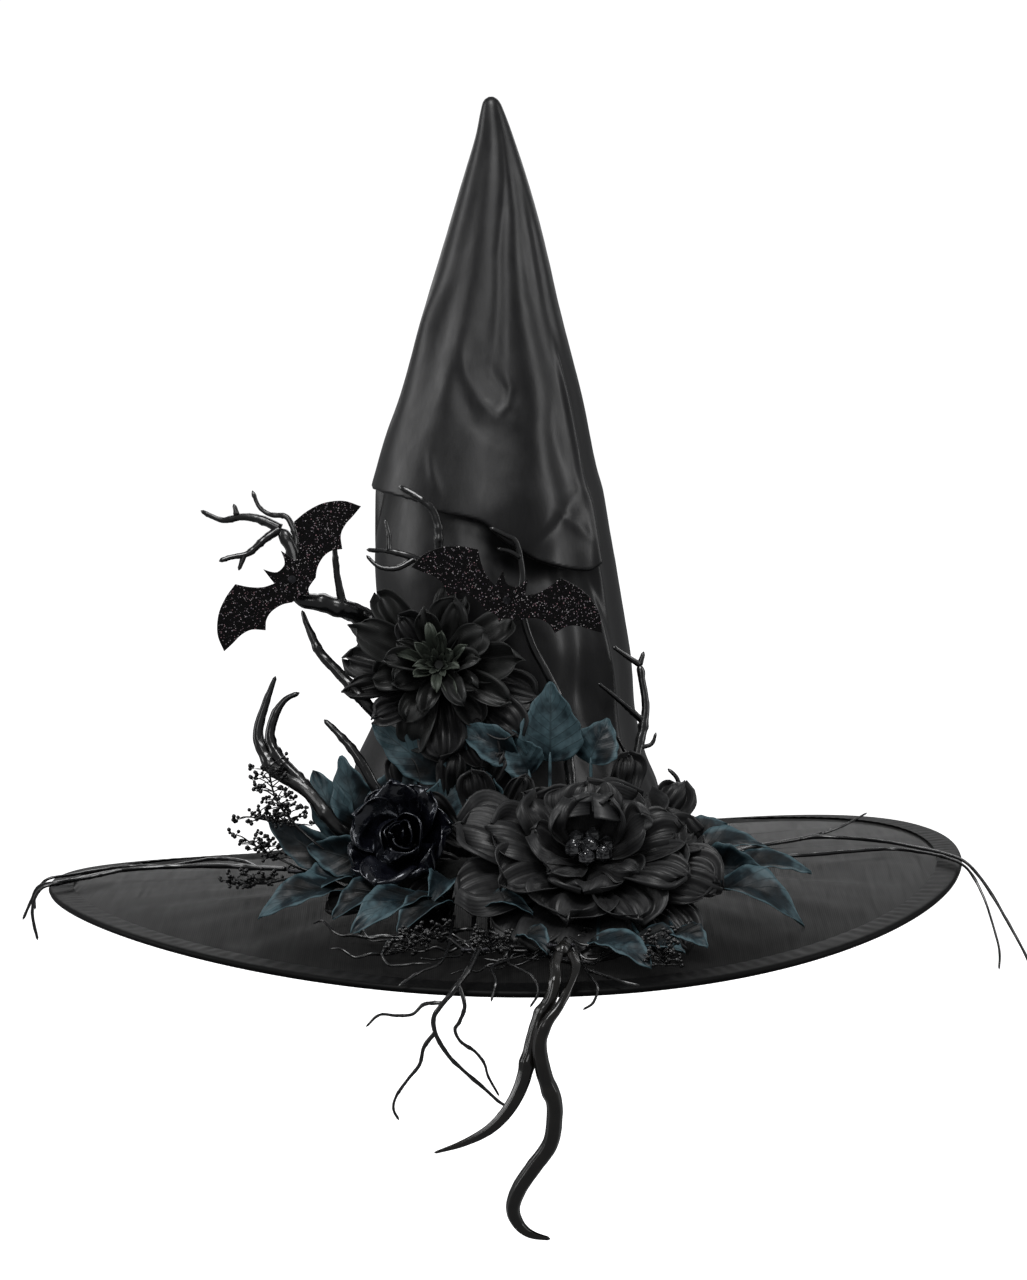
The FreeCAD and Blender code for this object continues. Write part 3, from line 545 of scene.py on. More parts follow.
# The last colour given to each petal cloth is its painted highlight on the petal edges and tips.
PEONY_CLOTH = petal_cloth("peony_petal_cloth", (0.0012, 0.0012, 0.0013), (0.019, 0.019, 0.02),
                          (0.04, 0.041, 0.043), 9)
DAHLIA_CLOTH = petal_cloth("dahlia_petal_cloth", (0.0012, 0.0013, 0.0013), (0.024, 0.025, 0.024),
                           (0.04, 0.042, 0.042), 7)
DAHLIA_HEART = petal_cloth("dahlia_heart_cloth", (0.002, 0.003, 0.002), (0.105, 0.125, 0.1),
                           (0.12, 0.14, 0.11), 6, stripe_share=0.9)
WAX = waxed()
LEAF = leaf_cloth()
TWIG = moulded("twig_moulded", (0.002, 0.002, 0.0023), (0.012, 0.012, 0.013), 0.26, coat=1.0,
              depth=0.16)
TENDRIL = moulded("tendril_moulded", (0.004, 0.0035, 0.003), (0.014, 0.012, 0.010), 0.2,
                  coat=0.7, grain=150, depth=0.2)
VINE = moulded("vine_moulded", (0.003, 0.003, 0.0035), (0.012, 0.012, 0.013), 0.2, coat=1.0)
BERRY = moulded("berry_moulded", (0.003, 0.003, 0.0035), (0.012, 0.012, 0.013), 0.2, coat=0.5)
CALYX = moulded("calyx_moulded", (0.004, 0.006, 0.004), (0.014, 0.018, 0.014), 0.5)
CRYSTAL = smoky_crystal()
GLITTER = glitter()
WIRE = drawn_wire()
FOAM = moulded("moss_over_foam", (0.002, 0.002, 0.002), (0.010, 0.011, 0.010), 0.85, grain=420,
               depth=1.2)
SWEATBAND = woven("sweatband_grosgrain", (0.006, 0.006, 0.006), (0.022, 0.022, 0.022), 420)
BUCKRAM = woven("stiffener_buckram", (0.01, 0.01, 0.01), (0.03, 0.03, 0.03), 260, 0.8)


# ---------------------------------------------------------------- crown

# Height, half width and sideways lean of the crown, foot to tip.
CROWN_STATIONS = [
    (0, 105, 0), (48, 99.6, 0.6), (69, 93.7, -0.8), (95, 85.1, 2.6), (131, 80.4, 4.9),
    (173, 77.8, 1.4), (202, 76.5, -1.2), (240, 73.6, -3.6), (254, 70.8, -4.6), (268, 67.0, -3.9),
    (301, 58.5, -1.2), (352, 45.1, 1.1), (394, 33.8, 3.9), (439, 21.1, 5.7), (468, 11.9, 6.2),
    (486, 6.6, 5.2), (491, 4.4, 4.8), (493, 1.5, 4.8),
]
CROWN_TOP = CROWN_STATIONS[-1][0]
HALF_WIDTHS = [(height, half) for height, half, lean in CROWN_STATIONS]
LEANS = [(height, lean) for height, half, lean in CROWN_STATIONS]

# Soft folds: how proud in mm, width in degrees, then (height, degrees from the front, + right).
CROWN_FOLDS = [
    (-2.4, 16, [(285, -44), (335, -46), (373, -38), (398, -36), (449, -28), (478, -22)]),
    (-1.2, 6, [(335, 4), (368, 6), (398, 6), (447, 17), (478, 20)]),
    (2.8, 17, [(240, 20), (253, 22), (303, 27), (348, 19), (398, 22), (424, 29)]),
    (-1.7, 11, [(300, 46), (348, 42), (373, 37), (398, 34), (439, 41)]),
    (-1.5, 7, [(205, 66), (256, 66), (300, 63), (348, 56), (373, 55), (414, 54)]),
    (1.2, 12, [(300, -34), (325, -26), (350, -20)]),
    (-2.0, 15, [(258, -20), (280, -18), (305, -12), (330, -8)]),
    (1.8, 15, [(250, -60), (285, -58), (320, -56), (360, -58)]),
    (-3.0, 9, [(212, 36), (228, 40), (250, 44), (285, 40)]),
    (-2.5, 9, [(205, 8), (220, 26), (232, 44), (246, 58)]),
    (2.0, 14, [(120, -70), (180, -72), (240, -76), (300, -70), (360, -66)]),
    (-3.0, 12, [(90, 150), (180, 140), (260, 128), (340, 140), (420, 150)]),
    (2.6, 14, [(100, 182), (200, 172), (300, 178), (400, 188)]),
    (-3.0, 12, [(90, 222), (180, 214), (280, 228), (380, 218), (440, 214)]),
]

# Short slanting wrinkles: how proud and how wide in mm, then (height, degrees from the front).
WRINKLES = [
    (0.9, 4.0, [(340, -24), (320, -17), (303, -6), (293, 6), (286, 20)]),
    (-0.9, 5.5, [(328, -26), (306, -19), (289, -8), (279, 6), (272, 18)]),
    (-1.1, 5.0, [(330, -4), (318, 2), (307, 10), (300, 18)]),
    (0.8, 2.4, [(320, 10), (310, 13), (300, 11), (292, 3)]),
    (0.9, 2.5, [(274, -34), (262, -29), (252, -23)]),
    (1.0, 3.0, [(236, 34), (226, 44), (214, 58)]),
]

# The deep crease under the overhang at the front: degrees from the front, height.
CREASE = [(-92, 257), (-54, 253), (-36, 249), (-27, 244), (-13, 240), (-3, 236), (3, 228),
          (10, 220), (23.5, 210), (42, 203), (57, 201), (64, 201)]

# The sharp upright fold at the right: height, degrees from the front.
UPRIGHT_FOLD = [(60, 56), (110, 55), (150, 54), (190, 57), (204, 58), (240, 60), (290, 57),
                (345, 56)]


WRINKLE_REACH = 60


def from_front(angle):
    """The same angle from the front, in degrees from -90 to 270."""
    return (angle + 90) % 360 - 90


def wrinkle_relief(height, angle, half):
    """Wrinkles measured on the unrolled cloth, fading out at both ends."""
    proud = 0.0
    per_degree = math.radians(half)
    for amount, width, route in WRINKLES:
        if abs(height - route[len(route) // 2][0]) > WRINKLE_REACH:
            continue
        best, along = 1e9, 0.0
        for number, ((high, turn), (low, after)) in enumerate(zip(route, route[1:])):
            run = Vector(((after - turn) * per_degree, low - high))
            here = Vector(((angle - turn) * per_degree, height - high))
            share = clamp(here.dot(run) / run.length_squared)
            distance = (here - share * run).length
            if distance < best:
                best, along = distance, (number + share) / (len(route) - 1)
        proud += amount * bell(best, width) * (0.15 + 0.85 * math.sin(math.pi * along))
    return proud


def crown_relief(height, angle):
    """How far the satin stands out of its plain cone, in mm."""
    proud = 0.0
    for amount, width, places in CROWN_FOLDS:
        low, high = places[0][0], places[-1][0]
        if height < low - 30 or height > high + 30:
            continue
        fade = smooth(low - 30, low + 12, height) * (1 - smooth(high - 12, high + 30, height))
        proud += amount * fade * bell(angle - through(places, height), width)

    below = through(CREASE, angle) - height
    active = smooth(-100, -84, angle) * (1 - smooth(56, 62, angle))
    deep = mix(8.5, 13.0, bell(angle - 22, 32))
    if below > 0:
        proud -= active * deep * smooth(0, 6, below) * math.exp(-(max(below - 6, 0) / 30) ** 2)
    proud += active * 3.0 * bell(min(below, 0.0), 30) * (1 - smooth(0, 6, below))

    line = through(UPRIGHT_FOLD, height)
    upright = smooth(40, 80, height) * (1 - smooth(300, 350, height))
    proud += 3.0 * upright * bell(angle - line, 3.2)
    proud -= 5.0 * upright * (1 - smooth(190, 225, height)) * bell(angle - line + 15, 9)
    proud -= 2.2 * upright * bell(angle - line - 12, 9)
    proud -= 4.0 * bell(height - 118, 22) * bell(angle - 34, 9)
    proud += 3.0 * bell(height - 150, 20) * bell(angle - 22, 12)

    foot = 1 - smooth(8, 75, height)
    pinch = math.radians(angle)
    gathers = math.sin(23 * pinch + 2.2 * math.sin(5 * pinch)) + 0.6 * math.sin(41 * pinch + 1.3)
    proud += foot * (0.4 + 1.5 * foot) * gathers * smooth(0, 14, height)
    return proud


def crown_point(height, turn, inset=0.0):
    """Point of the crown at a height and an angle in degrees from the front."""
    angle = from_front(turn)
    half = through(HALF_WIDTHS, height)
    proud = crown_relief(height, angle) * smooth(1, 44, half)
    if abs(angle) < 80 and 190 < height < 360:
        proud += wrinkle_relief(height, angle, half)
    x, y = math.sin(math.radians(turn)), -math.cos(math.radians(turn))
    proud += 0.9 * wobble(x * half, y * half, height * 0.6, 42) * smooth(4, 40, half)
    proud += 0.10 * wobble(x * half, y * half, height, 10) * smooth(4, 30, half)
    below = through(CREASE, angle) - height
    sag = (7.5 * smooth(-32, 0, below) * (1 - smooth(0, 6.5, below))
           * smooth(-96, -84, angle) * (1 - smooth(50, 62, angle)))
    reach = max(0.3, half + proud - inset)
    lean = through(LEANS, height)
    return lean + reach * x, reach * y, max(0.2, height - sag)


def make_crown():
    rows, columns = ((330, 330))

    def outside(s, t):
        return crown_point(CROWN_TOP * s, 360 * t - 180)

    def inside(s, t):
        return crown_point(CROWN_TOP * 0.95 * s + 0.5, 360 * t - 180, inset=2.6)

    cloth = Shape()
    last = cloth.grid(rows, columns, outside, closed=True) + (rows - 1) * columns
    cloth.fan(range(last, last + columns), crown_point(CROWN_TOP, 0, 4))
    crown = cloth.piece("crown_cloth", CROWN_SATIN, "hat", "crown_satin", "crown_shell",
                        thickness=0.5)

    lining = Shape()
    lining.grid(120, 120, inside, closed=True)
    lining.piece("crown_lining", BUCKRAM, "hat", "buckram", "crown_stiffener", thickness=0.8)

    slant, area = 0.0, 0.0
    for (low, r_low, _), (high, r_high, _) in zip(CROWN_STATIONS, CROWN_STATIONS[1:]):
        run = math.hypot(high - low, r_high - r_low)
        slant += run
        area += math.pi * (r_low + r_high) * run


# The band's foot and top radius, its height, and how many pleats it is gathered into.
BAND_FOOT, BAND_TOP, BAND_HEIGHT, PLEATS = 109.0, 106.4, 22, 74


def make_gathered_band():
    """Satin gathered into small uneven pleats round the foot of the crown."""
    def place(s, t):
        turn = 2 * math.pi * t
        phase = PLEATS * turn + 2.4 * math.sin(7 * turn) + 1.1 * math.sin(19 * turn + 1)
        fold = math.sin(phase) + 0.35 * math.sin(2.3 * phase + 4 * s)
        out = mix(BAND_FOOT, BAND_TOP, s ** 0.8) + 1.7 * math.sin(math.pi * min(1, s + 0.25))
        reach = out + fold * (1.5 - 0.7 * s) * (0.5 + 0.5 * math.sin(math.pi * mix(0.2, 0.8, s)))
        return polar(reach, turn, mix(0.6, BAND_HEIGHT, s) + 0.8 * fold * (s - 0.5))
    band = Shape()
    band.grid(12, 900, place, closed=True)
    made = band.piece("foot_pleats", CROWN_SATIN, "hat", "crown_satin", "gathered_band",
                      thickness=0.4)


# ---------------------------------------------------------------- brim

BRIM_INNER, BRIM_FLAT, BRIM_RADIUS, BINDING_WIDTH = 94.5, 105.0, 296.0, 16.0
BRIM_SINK = 0.4          # how far the cloth's middle lies under the brim's plane
BINDING_ROUND = 2.0      # half thickness of the binding where it goes round the wire
WIRE_SHARE = 0.16        # share of the binding's half width that bends round the wire


def rim_height(turn):
    """The rim's wave: droop, tilt and two waves round the hat."""
    return (-17 + 2.4 * math.cos(turn) - 7.9 * math.sin(turn) + 13.7 * math.cos(2 * turn)
            + 7.4 * math.sin(2 * turn))


def brim_height(radius, turn):
    reach = (radius - BRIM_FLAT) / (BRIM_RADIUS - BRIM_FLAT)
    return rim_height(turn) * max(0.0, reach) ** 1.2


def brim_wrinkles(radius, turn):
    """Soft radial folds that die out at the crown and at the wired edge."""
    reach = clamp((radius - BRIM_FLAT) / (BRIM_RADIUS - BRIM_FLAT))
    swell = math.sin(math.pi * reach ** 0.8)
    folds = 0.0
    for count, phase, amount in ((7, 0.4, 1.3), (13, 1.7, 1.1), (29, 0.2, 0.7), (53, 2.6, 0.3)):
        folds += amount * math.sin(count * turn + phase + 0.5 * math.sin(3 * turn) + 1.2 * reach)
    folds += 0.8 * wobble(radius * math.cos(turn), radius * math.sin(turn), 0, 45)
    return swell * folds


def brim_point(radius, turn):
    fade = 1 - smooth(BRIM_RADIUS - 40, BRIM_RADIUS - 17, radius)
    return polar(radius, turn, brim_height(radius, turn) - BRIM_SINK
                 + brim_wrinkles(radius, turn) * fade)


def make_brim():
    rows, columns = ((70, 480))

    def cloth_place(s, t):
        return brim_point(mix(BRIM_INNER, BRIM_RADIUS - 3, s), 2 * math.pi * t)

    cloth = Shape()
    cloth.grid(rows, columns, cloth_place, closed=True)
    brim = cloth.piece("brim_cloth", ORGANZA, "hat", "organza", "brim_fabric")

    def binding_place(s, t):
        """Folded strip: in along the top, round the wire and back along the underside."""
        turn = 2 * math.pi * t
        pucker = math.sin(190 * turn + 3 * math.sin(11 * turn)) + 0.7 * wobble(
            60 * math.cos(turn), 60 * math.sin(turn), 3 * s, 2.2)
        across = mix(-1, 1, s)
        inward, upper = abs(across), 1 if across < 0 else -1
        bend = math.radians(90) * clamp(1 - inward / WIRE_SHARE)
        flat = clamp((inward - WIRE_SHARE) / (1 - WIRE_SHARE))
        radius = BRIM_RADIUS - BINDING_ROUND - (BINDING_WIDTH - BINDING_ROUND) * flat
        radius += BINDING_ROUND * math.sin(bend)
        lift = 2.1 * math.cos(bend) * upper * mix(1.0, 0.7, flat ** 2)
        lift += 0.16 * pucker * upper * smooth(0.1, 0.6, inward)
        return polar(radius, turn, brim_height(radius, turn) - BRIM_SINK + lift)
    strip = Shape()
    strip.grid(25, 1400, binding_place, closed=True)
    bound = strip.piece("rim_binding", BINDING_SATIN, "hat", "binding_satin", "brim_binding")


# Middle of the foam block's section as (radius, height), and half its width and height.
FOAM_MIDDLE, FOAM_HALF = (129.5, 13.5), (17.0, 11.5)


def make_floral_base():
    """Mossy foam block behind the flowers: a lumpy arc with a rough skin."""
    rows, columns = 120, 36

    def place(s, t):
        turn = math.radians(mix(-150, -30, s))
        around = 2 * math.pi * t
        ends = math.sin(math.pi * clamp(s, 0.02, 0.98)) ** 0.3
        rough = (1.3 * wobble(20 * s * 6, math.cos(around) * 3, math.sin(around) * 3, 1.1)
                 + 0.6 * wobble(20 * s * 20, math.cos(around) * 9, math.sin(around) * 9, 1.3))
        across, up = math.cos(around), math.sin(around)
        square = max(abs(across), abs(up)) ** 0.6
        radius, height = (middle + (half * ends + rough) * part / square * 0.98
                          for middle, half, part in zip(FOAM_MIDDLE, FOAM_HALF, (across, up)))
        return polar(radius, turn, height)
    block = Shape()
    start = block.grid(rows, columns, place, closed=True)
    block.caps(start, rows, columns, place(0, 0.5), place(1, 0.5))
    block.piece("moss_block", FOAM, "hat", "floral_foam", "floral_base")


# ---------------------------------------------------------------- petals and flowers

def flower_axes(facing):
    out = Vector(facing).normalized()
    right = (Vector((1, 0, 0)) - out * out.x).normalized()
    return right, out.cross(right), out


CORE_RADIUS, GOLDEN_ANGLE = 3.5, 137.5


def petal(shape, seat, facing, turn, reach, width, base, lift, curl, cup, ruffle, waves=3,
          ribs=0.0, rib_count=9, seed=0, point=4.0, lip=0.0, flare=0.55, crumple=0.0, rows=16,
          columns=21):
    """One petal. turn is its direction round the flower in degrees, 0 right and 90 up; it leaves
    at angle lift from the flower's plane, rises to angle curl and rolls back by lip at its end;
    base is its height at the core."""
    rng = random.Random(seed)
    phases = [rng.uniform(0, 6.28) for _ in range(4)]
    slant = rng.choice((-1, 1)) * rng.uniform(1.6, 3.4)
    right, up, out = flower_axes(facing)
    heading = math.cos(math.radians(turn)) * right + math.sin(math.radians(turn)) * up
    tangent = out.cross(heading)
    steps = 40

    def slope(s):
        return math.radians(mix(lift, curl, s ** 1.3) - lip * smooth(0.62, 1.0, s))
    line, here = [], (CORE_RADIUS, float(base))
    for step in range(steps + 1):
        line.append(here)
        angle = slope(step / steps)
        here = (here[0] + reach / steps * math.cos(angle),
                here[1] + reach / steps * math.sin(angle))

    def place(s, t):
        across = 2 * t - 1
        index = min(int(s * steps), steps - 1)
        share = s * steps - index
        radial = mix(line[index][0], line[index + 1][0], share)
        height = mix(line[index][1], line[index + 1][1], share)
        angle = slope(s)
        half = width / 2 * (s * 0.96 + 0.04) ** flare * math.sqrt(max(0.0, 1 - s ** point) + 0.002)
        notch = 0.05 * reach * s ** 5 * math.sin(1.6 * waves * across + phases[3])
        rise = cup * half * across * across * (1 - 0.5 * s)
        rise += ruffle * s ** 1.5 * math.sin(waves * math.pi * across + phases[0]) * (
            0.35 + 0.65 * abs(across))
        rise += 0.5 * ruffle * s ** 2 * math.sin(2.3 * waves * across + phases[1] + 3 * s)
        ribbing = math.sin(math.pi * rib_count * across + 1.2 * math.sin(4 * s + phases[2]))
        rise += ribs * ribbing * (smooth(0.08, 0.35, s) * (1 - 0.55 * s))
        rise += (0.5 + crumple) * wobble(s * 3 + seed, across * 2, seed * 1.7)
        rise += crumple * s * math.sin(slant * across + 4.5 * s + phases[1])
        normal = -math.sin(angle) * heading + math.cos(angle) * out
        along = math.cos(angle) * heading + math.sin(angle) * out
        sway = 0.12 * half * math.sin(phases[2] + 2.5 * s)
        return (Vector(seat) + heading * radial + out * height + tangent * (half * across + sway)
                + normal * rise + along * (-0.16 * half * across * across * (1 - 0.4 * s) + notch))
    shape.grid(rows, columns, place)


# Each flower's seat and the way it faces.
PEONY = ((50, -160, 19), (0.08, -0.55, 0.83))
DAHLIA = ((-36, -85, 138), (-0.1, -0.93, 0.36))
ROSE = ((-60, -118, 30), (-0.2, -0.85, 0.45))


def make_peony():
    # direction, reach, width, lift, curl, lip, ruffle, ribs, number of ribs
    outer = [
        (-94, 82, 104, 4, 20, 34, 4.6, 0.9, 5), (-50, 82, 62, 0, 14, 30, 2.2, 2.6, 8),
        (-16, 78, 66, 6, 22, 40, 2.4, 2.8, 9), (18, 70, 60, 10, 30, 44, 3.0, 2.4, 8),
        (54, 62, 58, 12, 34, 50, 3.6, 1.6, 6), (90, 54, 60, 16, 40, 46, 3.6, 0.9, 5),
        (130, 60, 62, 14, 36, 40, 4.0, 0.9, 5), (166, 80, 72, 8, 30, 44, 4.2, 1.2, 6),
        (204, 84, 66, 4, 22, 36, 3.6, 1.4, 5), (236, 80, 60, 0, 18, 30, 3.2, 1.2, 5)]
    middle = [
        (-104, 58, 70, 10, 38, 52, 3.8, 1.0, 5), (-64, 64, 56, 10, 32, 50, 3.0, 1.6, 6),
        (-26, 62, 58, 14, 40, 56, 2.8, 2.2, 8), (14, 58, 54, 20, 48, 60, 3.2, 1.8, 7),
        (52, 50, 54, 26, 58, 62, 3.4, 1.2, 6), (92, 48, 60, 30, 64, 60, 3.4, 0.8, 6),
        (134, 52, 58, 26, 56, 56, 3.6, 0.9, 6), (174, 62, 60, 18, 44, 54, 3.6, 1.1, 6),
        (214, 62, 54, 12, 32, 44, 3.2, 1.2, 5)]
    inner = [
        (-98, 38, 56, 16, 44, 40, 3.0, 0.5, 4), (-40, 36, 34, 20, 50, 44, 3.0, 0.8, 5),
        (6, 44, 44, 34, 78, 30, 3.4, 0.9, 5), (50, 44, 46, 48, 112, 10, 3.8, 0.5, 4),
        (92, 42, 54, 52, 122, 0, 4.2, 0.4, 4), (136, 42, 48, 46, 108, 12, 3.8, 0.5, 4),
        (184, 42, 44, 30, 70, 40, 3.2, 0.8, 5), (226, 36, 36, 18, 46, 44, 3.0, 0.8, 4)]
    for name, node, base, petals in (("peony_skirt", "peony_outer_petals", 4, outer),
                                     ("peony_ring", "peony_middle_petals", 7.5, middle),
                                     ("peony_heart", "peony_inner_petals", 11, inner)):
        layer = Shape()
        for number, (turn, reach, width, lift, curl, lip, ruffle, ribs, count) in enumerate(petals):
            petal(layer, *PEONY, turn, reach, width, base + 1.6 * (number % 3), lift, curl,
                  cup=0.22, ruffle=ruffle, ribs=ribs, rib_count=count,
                  seed=len(name) * 31 + number, point=9, lip=lip, flare=0.72, crumple=2.6,
                  rows=32, columns=49)
        layer.piece(name, PEONY_CLOTH, "hat", "peony_cloth", node, thickness=0.5)

    right, up, out = flower_axes(PEONY[1])
    beads = Shape()
    rng = random.Random(5)
    spots = [(0, 0, 23, 6.2)] + [(11 * math.cos(1.05 * k + 0.3), 9.5 * math.sin(1.05 * k + 0.3),
                                 20 + rng.uniform(-1, 2.5), 5.6) for k in range(6)]
    for x, y, z, radius in spots:
        centre = Vector(PEONY[0]) + right * x + up * y + out * z
        beads.ball(centre + out * 3, radius, across=7, up=4, squeeze=rng.uniform(0.85, 1.05))
    beads.piece("crystal_cluster", CRYSTAL, "hat", "crystal", "peony_beads", flat=True)


def make_dahlia():
    rng = random.Random(11)
    # name, CAD node, petals, height at the core, reach, width, lift, curl
    rings = [
        ("dahlia_skirt", "dahlia_outer_petals", 11, 4, 56, 30, 4, 34),
        ("dahlia_ring", "dahlia_middle_petals", 10, 7.5, 43, 25, 22, 60),
        ("dahlia_florets", "dahlia_inner_petals", 11, 11, 31, 10, 38, 70)]
    for name, node, count, base, reach, width, lift, curl in rings:
        layer = Shape()
        narrow = name == "dahlia_florets"
        material, slot = ((DAHLIA_HEART, "dahlia_heart_cloth") if narrow
                          else (DAHLIA_CLOTH, "dahlia_cloth"))
        for number in range(count):
            turn = 360 * number / count + rng.uniform(-16, 16)
            petal(layer, *DAHLIA, turn, reach * rng.uniform(0.72, 1.05),
                  width * rng.uniform(0.75, 1.25), base + 1.6 * (number % 3),
                  lift + rng.uniform(-8, 20), curl + rng.uniform(-24, 34),
                  cup=0.9 if narrow else 0.75, ruffle=0.6 if narrow else 2.6, waves=2,
                  ribs=0.35 if narrow else 0.6, rib_count=3, seed=number + len(name) * 17,
                  point=3.2 if narrow else rng.uniform(3.0, 5.5), lip=rng.uniform(10, 95),
                  flare=0.7, crumple=0.3 if narrow else 1.6, rows=24, columns=25)
        layer.piece(name, material, "hat", slot, node, thickness=0.45)
    heart = Shape()
    for number in range(16):
        petal(heart, *DAHLIA, GOLDEN_ANGLE * number, 7 + 0.75 * number, 5 + 0.22 * number, 12,
              82 - 2.2 * number, 70 - 1.5 * number, cup=0.8, ruffle=0.2, waves=1,
              seed=300 + number, point=2.4, rows=10, columns=9)
    heart.piece("dahlia_eye", DAHLIA_HEART, "hat", "dahlia_heart_cloth", "dahlia_centre",
                thickness=0.4)


def make_rose():
    rng = random.Random(23)
    skirt = Shape()
    for number in range(7):
        turn = 51 * number + rng.uniform(-10, 10)
        tall = abs(math.sin(math.radians(turn)))
        petal(skirt, *ROSE, turn, rng.uniform(32, 38) + 9 * tall,
              rng.uniform(38, 46), 4 + 2 * (number % 2), 26 + rng.uniform(-8, 14),
              82 + rng.uniform(-18, 14), cup=0.4, ruffle=2.6, waves=2, seed=70 + number,
              point=7, lip=rng.uniform(30, 80), crumple=1.8, rows=26, columns=31)
    skirt.piece("rose_skirt", WAX, "hat", "rose_wax", "rose_outer_petals", thickness=0.9)

    right, up, out = flower_axes(ROSE[1])
    bud = Shape()
    for number in range(8):
        start = 2.1 * number + rng.uniform(-0.3, 0.3)
        radius, top = 3.6 + 1.9 * number, 35 - 0.9 * number + rng.uniform(-2.5, 2.5)
        half_turn = rng.uniform(0.95, 1.5)

        def place(s, t, start=start, radius=radius, top=top, half_turn=half_turn):
            turn = start + mix(-half_turn, half_turn, t) + 0.5 * s
            belly = math.sin(math.pi * mix(0.16, 0.66, s))
            lip = 4.2 * smooth(0.7, 1, s) * math.cos(3.1 * (t - 0.45) + start)
            reach = radius * belly + lip + 2.4 * wobble(s * 2, t * 3, start, 0.9)
            height = (mix(9, top, s) - 9.0 * (2 * t - 1) ** 2 * s
                      + 2.2 * s * math.sin(5 * t + 2 * start))
            return (Vector(ROSE[0]) + right * (reach * math.cos(turn))
                    + up * (reach * math.sin(turn)) + out * height)
        bud.grid(22, 27, place)
    bud.piece("rose_heart", WAX, "hat", "rose_wax", "rose_bud", thickness=0.9)


# ---------------------------------------------------------------- leaves

def leaf(shape, base, tip, width, facing, stem, bend, fold, twist, seed, blunt):
    """Pressed leaf from base to tip, bent along its length and folded on its midrib."""
    rng = random.Random(seed)
    phase, wave = rng.uniform(0, 6.28), rng.uniform(0.8, 1.4)
    start, end = Vector(base), Vector(tip)
    along = end - start
    length = along.length
    side = along.cross(Vector(facing)).normalized()
    out = side.cross(along).normalized()

    def place(s, t):
        across = 2 * t - 1
        half = width / 2 * (math.sin(math.pi * s ** (0.75 * blunt)) ** 0.85 + 0.02)
        turn = twist * (s - 0.4)
        lateral = side * math.cos(turn) + out * math.sin(turn)
        normal = out * math.cos(turn) - side * math.sin(turn)
        arch = bend * length * math.sin(math.pi * s) - 0.5 * bend * length * s * s
        rise = fold * half * abs(across) ** 1.4
        rise += 0.05 * width * math.sin(5 * wave * s + phase + 1.5 * across) * abs(across)
        rise += (0.4 * math.sin(math.pi * 9 * (s - 0.28 * abs(across)))
                 * smooth(0.05, 0.25, abs(across)))
        edge = 0.02 * width * math.sin(26 * s + phase) * abs(across) ** 4
        return (start + along * s + lateral * (half * across * math.cos(fold * 0.6) + edge * across)
                + out * arch + normal * rise)
    shape.grid(30, 17, place)
    middle = start.lerp(end, 0.12) + out * (bend * length * math.sin(math.pi * 0.12))
    stem_point = Vector(stem)
    halfway = stem_point.lerp(middle, 0.5) + out * 1.5
    shape.tube([stem_point, halfway, middle], (1.1, 0.8), sides=8, step=4)


def leaf_group(name, first_seed, rows, *nodes, blunt=1.0):
    """One piece of leaves. A row may end with a bluntness of its own."""
    group = Shape()
    for number, (base, tip, width, facing, stem, bend, fold, twist, *own) in enumerate(rows):
        leaf(group, base, tip, width, facing, stem, bend, fold, twist, first_seed + number,
             *(own or [blunt]))
    group.piece(name, LEAF, "hat", "leaf_cloth", *nodes, thickness=0.45)


FORWARD, UPWARD = (0, -1, 0.25), (0, -0.35, 1)

# base, tip, width, facing, foot of the stem, bend, fold, twist
LEAVES_UPPER = [
    ((30, -104, 81), (32, -106, 131), 40, FORWARD, (28, -116, 23), 0.05, 0.35, 0.15, 0.8),
    ((54, -102, 79), (67, -97, 106), 30, FORWARD, (54, -108, 23), 0.14, 0.4, -0.5, 0.8),
    ((8, -103, 78), (-8, -97, 109), 24, FORWARD, (10, -116, 23), 0.2, 0.5, 0.9),
    ((10, -108, 84), (-28, -106, 104), 24, FORWARD, (10, -116, 23), 0.2, 0.6, -0.8),
    ((-35, -102, 70), (-80, -98, 107), 26, FORWARD, (-34, -112, 23), 0.08, 0.3, 0.3),
    ((-14, -104, 72), (-42, -98, 99), 22, FORWARD, (-14, -116, 23), 0.12, 0.4, -0.3),
    ((18, -108, 74), (6, -110, 98), 26, FORWARD, (20, -116, 23), 0.1, 0.4, 0.2),
]
LEAVES_LEFT = [
    ((-88, -100, 38), (-100, -96, 87), 30, FORWARD, (-80, -84, 22), 0.06, 0.25, 0.2, 0.75),
    ((-98, -100, 34), (-118, -94, 78), 26, FORWARD, (-90, -82, 20), 0.08, 0.3, -0.3),
    ((-100, -112, 16), (-147, -98, 48), 24, FORWARD, (-96, -86, 14), 0.1, 0.3, 0.3),
    ((-94, -132, 8), (-150, -164, 2), 28, UPWARD, (-86, -104, 8), 0.12, 0.35, 0.2),
    ((-84, -118, 22), (-122, -116, 34), 26, FORWARD, (-86, -104, 8), 0.16, 0.4, 0.5),
]
LEAVES_FRONT = [
    ((-44, -160, 6), (-92, -204, 0), 30, UPWARD, (-44, -136, 8), 0.14, 0.35, 0.3),
    ((-34, -172, 6), (-64, -210, 0), 26, UPWARD, (-38, -138, 8), 0.14, 0.4, -0.3),
    ((-14, -204, 8), (16, -214, 10), 18, UPWARD, (12, -142, 8), 0.2, 0.5, 0.5),
    ((10, -224, -4), (24, -250, -8), 18, UPWARD, (12, -142, 8), 0.16, 0.4, 0.6),
    ((50, -232, -6), (84, -268, -13), 26, UPWARD, (60, -134, 8), 0.1, 0.3, 0.0),
    ((76, -226, -6), (104, -250, -10), 26, UPWARD, (60, -134, 8), 0.08, 0.2, 0.0, 0.8),
]
